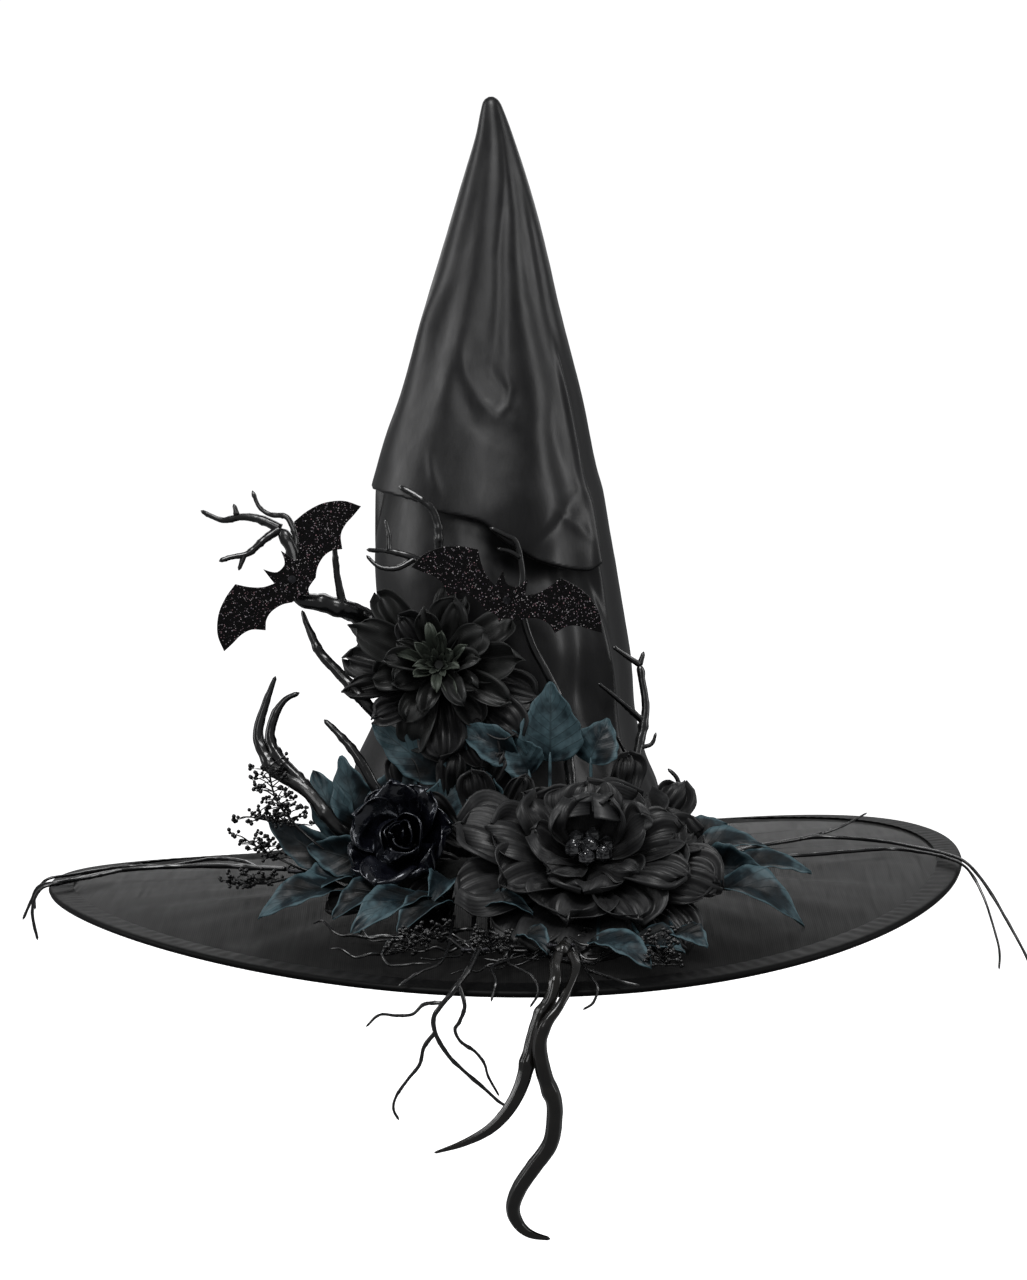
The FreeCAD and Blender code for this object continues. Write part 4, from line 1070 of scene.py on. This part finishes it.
LEAVES_RIGHT = [
    ((132, -124, 8), (190, -118, 12), 28, UPWARD, (110, -88, 10), 0.12, 0.35, 0.2),
    ((120, -150, 2), (180, -180, -6), 32, UPWARD, (104, -100, 6), 0.2, 0.45, 0.0),
    ((116, -110, 20), (166, -98, 24), 24, UPWARD, (102, -84, 16), 0.14, 0.35, -0.3),
    ((98, -226, -4), (118, -244, -8), 20, UPWARD, (88, -114, 6), 0.1, 0.3, 0.2),
    ((120, -128, 16), (158, -138, 16), 30, FORWARD, (102, -84, 16), 0.16, 0.4, -0.2),
]


def make_leaves():
    leaf_group("leaves_high", 1, LEAVES_UPPER, "leaves_upper")
    leaf_group("leaves_at_left", 8, LEAVES_LEFT, "leaves_left")
    leaf_group("leaves_at_front", 13, LEAVES_FRONT, "leaves_front")
    leaf_group("leaves_at_right", 19, LEAVES_RIGHT, "leaves_right")


def make_filling():
    """Loose petals and dark leaves that close the gaps between the flowers."""
    loose = Shape()
    # seat, facing, direction, reach, width, lift, curl, lip
    petals = [
        ((-12, -120, 34), (-0.1, -0.8, 0.6), 96, 44, 30, 40, 62, 40),
        ((-22, -120, 30), (-0.3, -0.8, 0.5), 128, 40, 28, 30, 56, 50),
        ((-2, -120, 34), (0.1, -0.8, 0.6), 66, 42, 24, 42, 66, 46),
        ((-24, -126, 22), (-0.2, -0.8, 0.5), 176, 34, 30, 22, 40, 44),
        ((-20, -134, 18), (-0.2, -0.7, 0.7), 216, 40, 32, 16, 34, 40),
        ((-34, -110, 52), (-0.1, -0.9, 0.4), 82, 34, 24, 24, 46, 52),
        ((-52, -106, 48), (-0.2, -0.9, 0.4), 108, 38, 26, 20, 40, 48),
        ((-16, -112, 58), (0.0, -0.9, 0.4), 58, 32, 22, 26, 50, 56),
        ((86, -112, 30), (0.4, -0.7, 0.6), 60, 44, 34, 20, 46, 54),
        ((74, -104, 44), (0.3, -0.8, 0.6), 92, 38, 30, 30, 56, 54),
        ((-30, -150, 8), (-0.1, -0.6, 0.8), 236, 44, 34, 8, 26, 34),
        ((-66, -142, 8), (-0.2, -0.6, 0.8), 196, 40, 30, 8, 26, 36),
        ((-36, -86, 134), DAHLIA[1], 168, 58, 36, 4, 22, 30),
        ((-36, -88, 134), DAHLIA[1], 190, 58, 20, 12, 30, 20),
        ((-36, -86, 132), DAHLIA[1], 216, 52, 26, 16, 60, 40),
        ((-36, -88, 132), DAHLIA[1], 268, 50, 40, 6, 30, 50),
        ((-34, -86, 132), DAHLIA[1], 296, 60, 34, 0, 18, 30),
        ((-34, -86, 134), DAHLIA[1], 318, 60, 36, 4, 26, 40),
        ((-34, -86, 136), DAHLIA[1], 342, 58, 38, 0, 14, 24),
        ((-36, -86, 136), DAHLIA[1], 126, 44, 28, 30, 70, 60),
    ]
    for number, (seat, facing, turn, reach, width, lift, curl, lip) in enumerate(petals):
        petal(loose, seat, facing, turn, reach, width, 0, lift, curl, cup=0.3, ruffle=2.4,
              ribs=1.2, rib_count=5, seed=500 + number, point=7, lip=lip, flare=0.6,
              crumple=2.4, rows=24, columns=33)
    loose.piece("loose_petals", PEONY_CLOTH, "hat", "peony_cloth", thickness=0.5)

    leaves = [
        ((-70, -104, 44), (-58, -100, 84), 34, (-0.2, -1, 0.2), (-74, -96, 22), 0.08, 0.3, 0.3),
        ((-44, -108, 40), (-26, -104, 80), 26, (0, -1, 0.3), (-48, -110, 22), 0.12, 0.4, -0.4),
        ((-8, -110, 46), (-16, -106, 84), 24, (0, -1, 0.3), (-8, -114, 22), 0.14, 0.5, 0.5),
        ((-30, -146, 12), (-46, -184, 12), 24, (0, -0.5, 1), (-30, -136, 10), 0.2, 0.5, 0.5),
        ((-92, -118, 12), (-128, -140, 10), 30, (-0.2, -0.5, 1), (-90, -108, 10), 0.14, 0.4, 0.2),
        ((-64, -144, 8), (-104, -178, 4), 30, (0, -0.4, 1), (-64, -134, 8), 0.14, 0.4, -0.2),
        ((108, -98, 20), (142, -74, 34), 26, (0.2, -0.8, 0.6), (104, -92, 12), 0.16, 0.4, 0.3),
    ]
    leaf_group("leaves_between", 600, leaves, blunt=0.85)


# ---------------------------------------------------------------- twigs, tendrils and vines

def bark(seed, knots=6, ridge=0.07, roughness=0.10):
    """Relief of a moulded twig: twisted lengthwise ridges, knots and pits."""
    rng = random.Random(seed)
    places = [(rng.uniform(0.04, 0.97), rng.uniform(0.0, 6.28), rng.uniform(0.10, 0.32))
              for _ in range(knots)]
    twist = rng.uniform(-3, 3)

    def relief(share, angle):
        scale = 1 + ridge * math.sin(5 * angle + twist * share) + 0.5 * ridge * math.sin(
            3 * angle - 4 * share)
        scale += roughness * wobble(4 * math.cos(angle), 4 * math.sin(angle), 60 * share + seed,
                                    1.4)
        for place, side, size in places:
            scale += size * bell(share - place, 0.018) * (0.6 + 0.4 * math.cos(angle - side))
        return scale
    return relief


def stems(name, material, body, slot, node, branches, sides=14, step=1.6, **bark_settings):
    """A moulded piece of several tapering stems: (route, root radius, ... tip radius)."""
    shape = Shape()
    for number, (route, *radii) in enumerate(branches):
        shape.tube(route, radii, sides=sides, step=step,
                   relief=bark(7 * number + len(name), **bark_settings))
    shape.piece(name, material, body, slot, node)


def make_branches():
    def twig(name, node, *branches):
        stems(name, TWIG, "hat", "twig_plastic", node, branches, knots=9)

    twig("twig_upper_left", "branch_upper_left",
         ([(-64, -60, 153), (-77, -70, 165), (-89, -84, 175), (-107, -90, 182), (-122, -88, 186),
           (-124, -84, 200), (-127, -80, 216), (-134, -76, 228)], 6.6, 6.3, 5.8, 5.0, 4.4, 3.6),
         ([(-134, -76, 228), (-146, -74, 234), (-158, -72, 236), (-169, -70, 234), (-176, -69, 236),
           (-184, -66, 240)], 3.2, 1.2),
         ([(-161, -72, 237), (-163, -70, 244)], 1.8, 1.2),
         ([(-134, -76, 228), (-144, -80, 222), (-154, -84, 214), (-165, -86, 212),
           (-172, -88, 210)], 2.8, 1.3),
         ([(-156, -84, 214), (-160, -88, 204)], 1.8, 1.2),
         ([(-124, -82, 212), (-124, -80, 222), (-127, -78, 231), (-131, -76, 236), (-140, -74, 237),
           (-147, -72, 242), (-151, -70, 252)], 2.2, 1.1),
         ([(-96, -88, 180), (-99, -90, 200), (-100, -90, 218), (-102, -89, 227)], 2.6, 1.2))
    twig("twig_spike_left", "branch_spike_left",
         ([(-62, -66, 106), (-70, -84, 108), (-78, -98, 114), (-90, -96, 128), (-101, -92, 140),
           (-111, -88, 151), (-118, -84, 166), (-122, -80, 177)], 3.4, 3.8, 3.6, 3.2, 2.6, 1.1))
    twig("twig_horn_pair", "branch_horn_pair",
         ([(-68, -85, 28), (-85, -104, 31), (-101, -118, 44), (-120, -112, 67), (-135, -104, 76),
           (-144, -96, 83), (-151, -90, 96), (-151, -86, 106), (-146, -82, 121), (-140, -80, 136)],
          5.2, 5.0, 4.4, 4.2, 4.2, 3.8, 2.8, 1.2),
         ([(-112, -115, 58), (-125, -108, 74), (-137, -100, 86), (-144, -92, 98), (-141, -89, 112),
           (-134, -87, 122), (-125, -86, 126)], 3.6, 3.4, 3.2, 2.8, 1.2))
    twig("twig_small_left", "branch_small_left",
         ([(-62, -98, 22), (-66, -106, 56), (-77, -121, 69), (-84, -121, 82), (-91, -118, 93),
           (-99, -114, 102), (-109, -110, 112)], 3.4, 3.6, 3.4, 3.2, 2.6, 1.4))
    twig("twig_crown_left", "branch_crown_left",
         ([(-35, -76, 197), (-34, -85, 199), (-34, -92, 205), (-35, -93, 216), (-35, -92, 228),
           (-38, -91, 238), (-44, -90, 244), (-51, -88, 249), (-59, -84, 253)], 3.6, 1.6),
         ([(-34, -92, 205), (-44, -95, 206), (-54, -97, 211), (-66, -96, 214), (-80, -92, 215)],
          2.8, 1.1),
         ([(-50, -97, 209), (-61, -101, 204), (-72, -101, 205), (-80, -98, 212)], 2.0, 1.0),
         ([(-66, -96, 214), (-66, -94, 224), (-68, -92, 234)], 1.8, 1.0))
    twig("twig_crown_right", "branch_crown_right",
         ([(42, -106, 22), (43, -95, 60), (41, -90, 88), (37, -95, 117), (30, -99, 135),
           (21, -98, 153), (16, -97, 171), (15, -95, 186), (16, -94, 200), (13, -93, 217),
           (6, -94, 222), (-3, -96, 227)], 3.6, 1.5),
         ([(15, -94, 208), (8, -95, 212), (1, -98, 214)], 1.8, 1.0))
    twig("twig_right", "branch_right",
         ([(78, -80, 24), (80, -75, 57), (82, -72, 65), (86, -66, 80), (90, -60, 94),
           (92, -56, 108), (90, -52, 125), (89, -50, 133)], 4.0, 2.0),
         ([(89, -50, 133), (81, -54, 139), (72, -58, 146)], 1.9, 1.1),
         ([(89, -50, 133), (92, -48, 141)], 1.9, 1.2),
         ([(90, -58, 98), (76, -66, 112), (62, -73, 125)], 2.2, 1.0),
         ([(87, -65, 82), (95, -64, 84), (98, -62, 91)], 1.6, 0.9),
         ([(83, -70, 70), (77, -73, 82), (73, -76, 91)], 1.6, 0.9))
    twig("twig_right_tip", "branch_right_tip",
         ([(92, -78, 24), (99, -84, 34), (107, -90, 43), (110, -88, 51), (111, -86, 59),
           (109, -85, 66), (104, -83, 71)], 2.6, 1.1))


COIL_RADIUS, COIL_WIRE, COIL_STEP, COIL_TURN = 1.95, 0.62, 0.55, 0.7


def coil(shape, pivot, axis):
    """Small wire coil wound round the axis of a pivot."""
    centre, axis = Vector(pivot), Vector(axis)
    side = axis.orthogonal().normalized()
    other = axis.cross(side)
    route = [centre + COIL_RADIUS * (math.cos(COIL_TURN * k) * side
                                     + math.sin(COIL_TURN * k) * other)
             + axis * (COIL_STEP * (k - 8)) for k in range(18)]
    shape.tube(route, (COIL_WIRE, COIL_WIRE), sides=8, step=1.0)


TENDRILS_PIVOT, ROOT_VINE_PIVOT = (34, -258, -3), (-16, -266, -2.5)
BRIM_VINE_PIVOT, GRASS_PIVOT = (-138, -32, 4.5), (147, -15, 4.5)
ACROSS, BACKWARDS = (1, 0, 0), (0, 1, 0)
ROOT_BARK = {"ridge": 0.05, "roughness": 0.14}


def make_tendrils():
    settings = {"sides": 20, "step": 1.4, "knots": 3, "ridge": 0.09, "roughness": 0.04}
    stems("hanging_horn", TENDRIL, "tendrils", "twig_plastic", "tendril_horn", [
        ([(30, -276, -5), (28, -288, -9), (28, -299, -14), (25, -304, -24), (18, -308, -36),
          (12, -312, -56), (7, -314, -72), (-1, -314, -86), (-12, -313, -97), (-27, -311, -105),
          (-44, -308, -111)], 3.2, 3.3, 3.9, 4.3, 4.0, 3.3, 2.2, 0.7)], **settings)
    stems("hanging_long", TENDRIL, "tendrils", "twig_plastic", "tendril_long", [
        ([(38.5, -275, -5.5), (40, -290, -10), (35, -305, -19), (29, -315, -27), (22, -320, -35),
          (18, -321, -47), (20, -320, -64), (25, -318, -80), (25, -316, -93), (22, -314, -107),
          (12, -312, -121), (4, -310, -133), (0, -308, -145), (3, -306, -155), (10, -306, -161),
          (21, -306, -164)], 3.2, 2.4, 2.4, 3.4, 4.2, 4.4, 4.4, 4.5, 4.3, 3.3, 1.0)], **settings)
    stem = Shape()
    stem.tube([(34, -264.6, -3), (33, -268, -3.4), (32, -274, -4.5)], (4.2, 3.8), sides=18,
              step=1.2, relief=bark(3, knots=4))
    coil(stem, TENDRILS_PIVOT, ACROSS)
    stem.piece("hanging_stem", TENDRIL, "tendrils", "twig_plastic", "tendril_stem")


def make_vines():
    def vine(name, body, node, branches, pivot=None, axis=None, knots=14):
        shape = Shape()
        for number, (route, root, tip) in enumerate(branches):
            shape.tube(route, (root, tip), sides=9, step=1.6,
                       relief=bark(11 * number + len(name), knots, **ROOT_BARK))
        if pivot:
            coil(shape, pivot, axis)
        shape.piece(name, VINE, body, "vine_plastic", node)

    vine("roots_hanging", "root_vine_body", "root_vine", [
        ([(-16, -269.4, -2.5), (-21, -291, -8), (-30, -306, -17), (-38, -309, -26),
          (-42, -306, -33), (-41, -300, -44), (-35, -294, -57), (-27, -290, -67), (-16, -287, -78),
          (-5, -285, -89), (3, -285, -92)], 1.8, 0.8),
        ([(-41, -301, -42), (-48, -299, -51), (-51, -296, -62), (-58, -294, -71), (-65, -292, -81),
          (-67, -291, -89), (-64, -290, -96)], 1.3, 0.7),
        ([(-27, -303, -15), (-24, -307, -26), (-27, -305, -35), (-30, -302, -41), (-27, -298, -49),
          (-19, -294, -56), (-14, -291, -64), (-12, -289, -72), (-6, -288, -84)], 1.2, 0.7),
        ([(-36, -307, -24), (-47, -305, -25), (-54, -303, -31), (-63, -301, -32), (-73, -298, -32),
          (-81, -297, -39)], 1.1, 0.7)], ROOT_VINE_PIVOT, ACROSS)
    vine("vine_over_brim", "brim_vine_body", "brim_vine_left", [
        ([(-141.4, -32, 4.5), (-165, -16, 3), (-187, -4, 2.5), (-222, 0, 2), (-250, -8, 2),
          (-268, -28, 2.4), (-281, -56, 4), (-295, -64, 2), (-301, -64, -12), (-299, -60, -32)],
         1.8, 0.9),
        ([(-222, 0, 2), (-245, 6, 2), (-264, -6, 2.2), (-281, -26, 3.2), (-295, -34, 2.2),
          (-303, -32, -8), (-304, -30, -18)], 1.3, 0.8),
        ([(-250, -8, 2), (-268, -42, 4), (-283, -58, 5), (-297, -58, 2.5), (-303, -55, -8),
          (-309, -52, -20)], 1.3, 0.8),
        ([(-160, -18, 3), (-172, 8, 3), (-190, 22, 2.6), (-206, 12, 2.4), (-222, 0, 2)], 1.2, 1.0)],
        BRIM_VINE_PIVOT, BACKWARDS)
    vine("grass_over_brim", "grass_body", "grass_spray", [
        ([(150.3, -15, 4.5), (165, 4, 4), (183, 20, 3.5), (207, 34, 3.5), (233, 26, 3),
          (252, 10, 3), (267, -10, 3), (282, -36, 3.4), (294, -60, 1), (304, -84, -11),
          (312, -100, -26), (324, -112, -50), (330, -118, -69)], 1.6, 0.8),
        ([(150.3, -15, 4.5), (170, -26, 3.5), (193, -30, 3.5), (221, -22, 3.5), (248, -14, 3),
          (265, -24, 3), (280, -46, 3), (292, -68, 0), (300, -86, -14), (305, -98, -32),
          (308, -104, -47), (307, -108, -58)], 1.4, 0.7),
        ([(195, 28, 3.5), (210, 38, 5), (226, 50, 8), (243, 62, 14)], 1.4, 0.6)],
        GRASS_PIVOT, BACKWARDS, knots=8)
    vine("curls_at_front", "hat", "curl_vines_front", [
        ([(3, -138, 9), (3, -200, -5), (1, -262, -10), (6, -282, -10), (15, -298, -12),
          (18, -304, -20), (13, -303, -29)], 1.3, 0.7),
        ([(1, -262, -10), (-8, -280, -10), (-6, -297, -15), (-9, -303, -25)], 1.1, 0.7),
        ([(-31, -190, 2), (-36, -262, -8), (-50, -284, -11), (-62, -297, -16)], 1.1, 0.7)])
    vine("curls_at_right", "hat", "curl_vines_right", [
        ([(41, -136, 8), (42, -190, -3), (43, -240, -12), (46, -270, -15), (48, -289, -15),
          (52, -301, -19), (49, -304, -27), (43, -304, -31)], 1.3, 0.7),
        ([(46, -270, -15), (56, -282, -16), (66, -291, -18), (76, -294, -20)], 1.1, 0.7)])


def make_tangle():
    """Loose fine rootlets curling over the brim in front of the flowers."""
    rng = random.Random(77)
    shape = Shape()
    for number in range(30):
        x, y = rng.uniform(-64, 66), rng.uniform(-226, -196)
        heading, bend = rng.uniform(-2.6, -0.5), rng.uniform(-0.35, 0.35)
        route = []
        for step in range(9):
            radius, turn = math.hypot(x, y), math.atan2(y, x)
            if radius > BRIM_RADIUS - 12:
                break
            route.append((x, y, min(brim_height(radius, turn), 0) + 5 + rng.uniform(-1, 5)))
            heading += bend + rng.uniform(-0.45, 0.45)
            x += 9 * math.cos(heading)
            y += 9 * math.sin(heading)
        if len(route) > 2:
            shape.tube(route, (rng.uniform(1.0, 1.5), 0.55), sides=8, step=1.6,
                       relief=bark(40 + number, 4, **ROOT_BARK))
    shape.piece("rootlets_front", VINE, "hat", "vine_plastic")


def make_berries():
    """Forked sprays: side stalks every few millimetres, each ending in small glossy berries."""
    sprays = {
        "berries_upper_left": ("berry_sprig_left_upper", [
            [(-96, -92, 24), (-108, -118, 30), (-126, -116, 45), (-140, -110, 62),
             (-145, -106, 82)],
            [(-108, -118, 30), (-132, -114, 48), (-146, -110, 50), (-157, -108, 52)]]),
        "berries_lower_left": ("berry_sprig_left_lower", [
            [(-104, -82, 16), (-120, -98, 14), (-138, -98, 22), (-150, -92, 27), (-160, -88, 33)],
            [(-120, -98, 14), (-147, -96, 8), (-158, -92, 7), (-170, -88, 7)]]),
        "berries_front": ("berry_sprig_front", [
            [(-30, -140, 8), (-34, -190, -1), (-44, -222, -2), (-52, -236, -4), (-60, -248, -7)],
            [(-9, -140, 8), (-10, -195, -2), (-9, -225, -5), (-8, -238, -6), (-8, -250, -8)]]),
        "berries_right": ("berry_sprig_right", [
            [(80, -122, 8), (84, -190, -2), (88, -232, -8), (90, -250, -11), (92, -266, -15)]])}
    for name, (node, routes) in sprays.items():
        rng = random.Random(len(name))
        shape = Shape()
        for route in routes:
            shape.tube(route, (1.1, 0.6), sides=8, step=3)
            line = smooth_line(route[-3:] if len(route) > 4 else route[1:], 3.0)
            for point in line[1:]:
                for side in (-1, 1, rng.choice((-1, 1))):
                    run = Vector((side * rng.uniform(3, 11), rng.uniform(-5, 3),
                                  rng.uniform(-2, 8)))
                    end = point + run
                    shape.tube([point, point + 0.5 * run + Vector((0, 0, 1)), end], (0.45, 0.35),
                               sides=5, step=3)
                    for _ in range(3):
                        spot = end + Vector((rng.uniform(-2.2, 2.2), rng.uniform(-1.5, 1.5),
                                             rng.uniform(-1, 3)))
                        shape.tube([end, (end + spot) / 2, spot], (0.3, 0.3), sides=4, step=3)
                        shape.ball(spot, rng.uniform(0.9, 1.5), across=7, up=5)
        shape.piece(name, BERRY, "hat", "berry_plastic", node)


# ---------------------------------------------------------------- bats

BAT_SPAN, BAT_THICKNESS, BAT_BORE, BAT_BEVEL = 124, 2.0, 1.3, 0.3

# Right half of the outline as curves that meet at sharp corners, as shares of the span:
# wing tip, wrist, neck, ear, crown of the head; then tail, foot, scallop point, wing tip.
BAT_UPPER = [
    [(0.5, 0.0), (0.46, 0.082), (0.385, 0.146), (0.3, 0.178), (0.215, 0.19)],
    [(0.215, 0.19), (0.178, 0.13), (0.132, 0.08), (0.078, 0.05)],
    [(0.078, 0.05), (0.072, 0.09), (0.064, 0.138)],
    [(0.064, 0.138), (0.046, 0.1), (0.026, 0.078), (0.0, 0.074)],
]
BAT_LOWER = [
    [(0.0, -0.118), (0.018, -0.092), (0.05, -0.084), (0.085, -0.08)],
    [(0.085, -0.08), (0.13, -0.05), (0.19, -0.036), (0.24, -0.046), (0.28, -0.078)],
    [(0.28, -0.078), (0.325, -0.026), (0.38, -0.006), (0.44, -0.004), (0.5, 0.0)],
]


def make_bat(name, body, node, centre, roll):
    """Glittered foam bat cut along smooth curves, with the hole for its wire."""
    def curve_through(runs):
        points = []
        for run in runs:
            points += smooth_line([(x * BAT_SPAN, z * BAT_SPAN, 0) for x, z in run], 2.0)[:-1]
        return points
    upper, lower = curve_through(BAT_UPPER), curve_through(BAT_LOWER)
    middle = [Vector((0, BAT_UPPER[-1][-1][1] * BAT_SPAN, 0))]
    left = [Vector((-point.x, point.y, 0)) for point in upper[::-1] + lower[:0:-1]]
    outline = upper + middle + left + lower
    bore = [Vector((BAT_BORE * math.cos(math.pi * k / 9), BAT_BORE * math.sin(math.pi * k / 9), 0))
            for k in range(18)]
    foam = bpy.data.curves.new(name, "CURVE")
    foam.dimensions, foam.fill_mode = "2D", "BOTH"
    foam.extrude = (BAT_THICKNESS / 2 - BAT_BEVEL) * MM
    foam.bevel_depth, foam.bevel_resolution, foam.offset = BAT_BEVEL * MM, 2, -BAT_BEVEL * MM
    for points in (outline, bore):
        spline = foam.splines.new("POLY")
        spline.points.add(len(points) - 1)
        for spot, point in zip(spline.points, points):
            spot.co = (*(point * MM), 1.0)
        spline.use_cyclic_u = True
    foam.materials.append(GLITTER)
    bat = placed(name, foam)
    bat.matrix_world = (Matrix.Translation(Vector(centre) * MM)
                        @ Matrix.Rotation(math.radians(-roll), 4, "Y")
                        @ Matrix.Rotation(math.radians(90), 4, "X"))
    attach(bat, body)
    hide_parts(node)


def make_bats():
    make_bat("glitter_bat_left", "bat_left_body", "bat_left", (-126, -101, 199), 45)
    make_bat("glitter_bat_right", "bat_right_body", "bat_right", (6, -116, 184), -20.7)


# ---------------------------------------------------------------- CAD pieces kept as they are

KEPT_NODES = {
    "sweatband": SWEATBAND, "brim_wire": WIRE, "tendril_wire": WIRE, "root_vine_wire": WIRE,
    "grass_wire": WIRE, "brim_vine_wire": WIRE, "bat_left_wire": WIRE, "bat_right_wire": WIRE,
    "peony_calyx": CALYX, "dahlia_calyx": CALYX, "rose_calyx": CALYX,
}


def dress_kept_nodes():
    for name, material in KEPT_NODES.items():
        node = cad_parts[name]
        for slot in node.material_slots:
            slot.material = material


# ---------------------------------------------------------------- stage, light and camera

CAMERA_TARGET = Vector((9.5, 0, 144.8)) * MM
CAMERA_DISTANCE, CAMERA_LENS = 2.304, 100
CAMERA_ELEVATION, CAMERA_ROLL = math.radians(7), math.radians(1.6)


def make_camera():
    data = bpy.data.cameras.new("camera")
    data.lens, data.sensor_width = CAMERA_LENS, 36
    data.clip_end = 20
    camera = placed("camera", data)
    back = Vector((0, -math.cos(CAMERA_ELEVATION), math.sin(CAMERA_ELEVATION)))
    level = Vector((0, math.sin(CAMERA_ELEVATION), math.cos(CAMERA_ELEVATION)))
    across = Vector((1, 0, 0))
    x_axis = math.cos(CAMERA_ROLL) * across - math.sin(CAMERA_ROLL) * level
    y_axis = math.sin(CAMERA_ROLL) * across + math.cos(CAMERA_ROLL) * level
    turned = Matrix((x_axis, y_axis, back)).transposed().to_4x4()
    camera.matrix_world = Matrix.Translation(CAMERA_TARGET + back * CAMERA_DISTANCE) @ turned
    bpy.context.scene.camera = camera


def make_world():
    """White all round for the eye, softer for the light it gives."""
    world = bpy.data.worlds.new("studio")
    world.use_nodes = True
    nodes, links = world.node_tree.nodes, world.node_tree.links
    seen = nodes["Background"]
    seen.inputs["Color"].default_value = (1, 1, 1, 1)
    seen.inputs["Strength"].default_value = 1.05
    given = nodes.new("ShaderNodeBackground")
    given.inputs["Color"].default_value = (0.97, 0.985, 1, 1)
    given.inputs["Strength"].default_value = 0.16
    path, blend = nodes.new("ShaderNodeLightPath"), nodes.new("ShaderNodeMixShader")
    links.new(path.outputs["Is Camera Ray"], blend.inputs["Fac"])
    links.new(given.outputs["Background"], blend.inputs[1])
    links.new(seen.outputs["Background"], blend.inputs[2])
    links.new(blend.outputs["Shader"], nodes["World Output"].inputs["Surface"])
    bpy.context.scene.world = world


def softbox(name, place, aim, width, height, power):
    """Soft area light: places and sizes in metres, power in watts."""
    data = bpy.data.lights.new(name, "AREA")
    data.shape, data.size, data.size_y, data.energy = "RECTANGLE", width, height, power
    light = placed(name, data)
    light.location = place
    light.rotation_euler = (Vector(aim) - Vector(place)).to_track_quat("-Z", "Y").to_euler()


def make_lights():
    middle = (0, 0, 0.2)
    softbox("key", (-1.95, 0.1, 0.9), middle, 0.6, 1.6, 8)
    softbox("fill", (1.85, -0.15, 0.8), middle, 0.5, 1.5, 6)
    softbox("back", (0.0, 1.8, 1.0), middle, 2.4, 1.0, 9)
    softbox("top", (-0.1, -0.9, 1.9), middle, 0.8, 0.8, 16)
    softbox("front", (-0.6, -2.4, 1.4), middle, 1.0, 1.0, 6)


FLOOR_HALF, FLOOR_GAP = 6.0, 0.25


def make_floor():
    """Pale sweep well under the lowest tendril, which lights nothing from below."""
    height = CAD_BOX[0][2] - FLOOR_GAP
    mesh = bpy.data.meshes.new("floor")
    corners = [(-1, -1), (1, -1), (1, 1), (-1, 1)]
    mesh.from_pydata([(x * FLOOR_HALF, y * FLOOR_HALF, height) for x, y in corners], [],
                     [(0, 1, 2, 3)])
    paint = Paint("pale_floor", 0.9)
    speck = paint.noise(30, 3.0)
    paint.colour(paint.ramp(speck, (0.0, (0.92, 0.92, 0.92)), (1.0, (0.95, 0.95, 0.95))))
    paint.shader.inputs["Emission Color"].default_value = (1, 1, 1, 1)
    paint.shader.inputs["Emission Strength"].default_value = 1.0
    mesh.materials.append(paint.material)
    floor = placed("floor", mesh)
    floor.visible_diffuse = floor.visible_glossy = floor.visible_transmission = False


for make in (make_crown, make_gathered_band, make_brim, make_floral_base, make_peony, make_dahlia,
             make_rose, make_leaves, make_filling, make_branches, make_tendrils, make_vines,
             make_tangle, make_berries, make_bats, dress_kept_nodes, make_floor, make_world,
             make_lights, make_camera):
    make()
bpy.context.scene.view_settings.view_transform = "Standard"
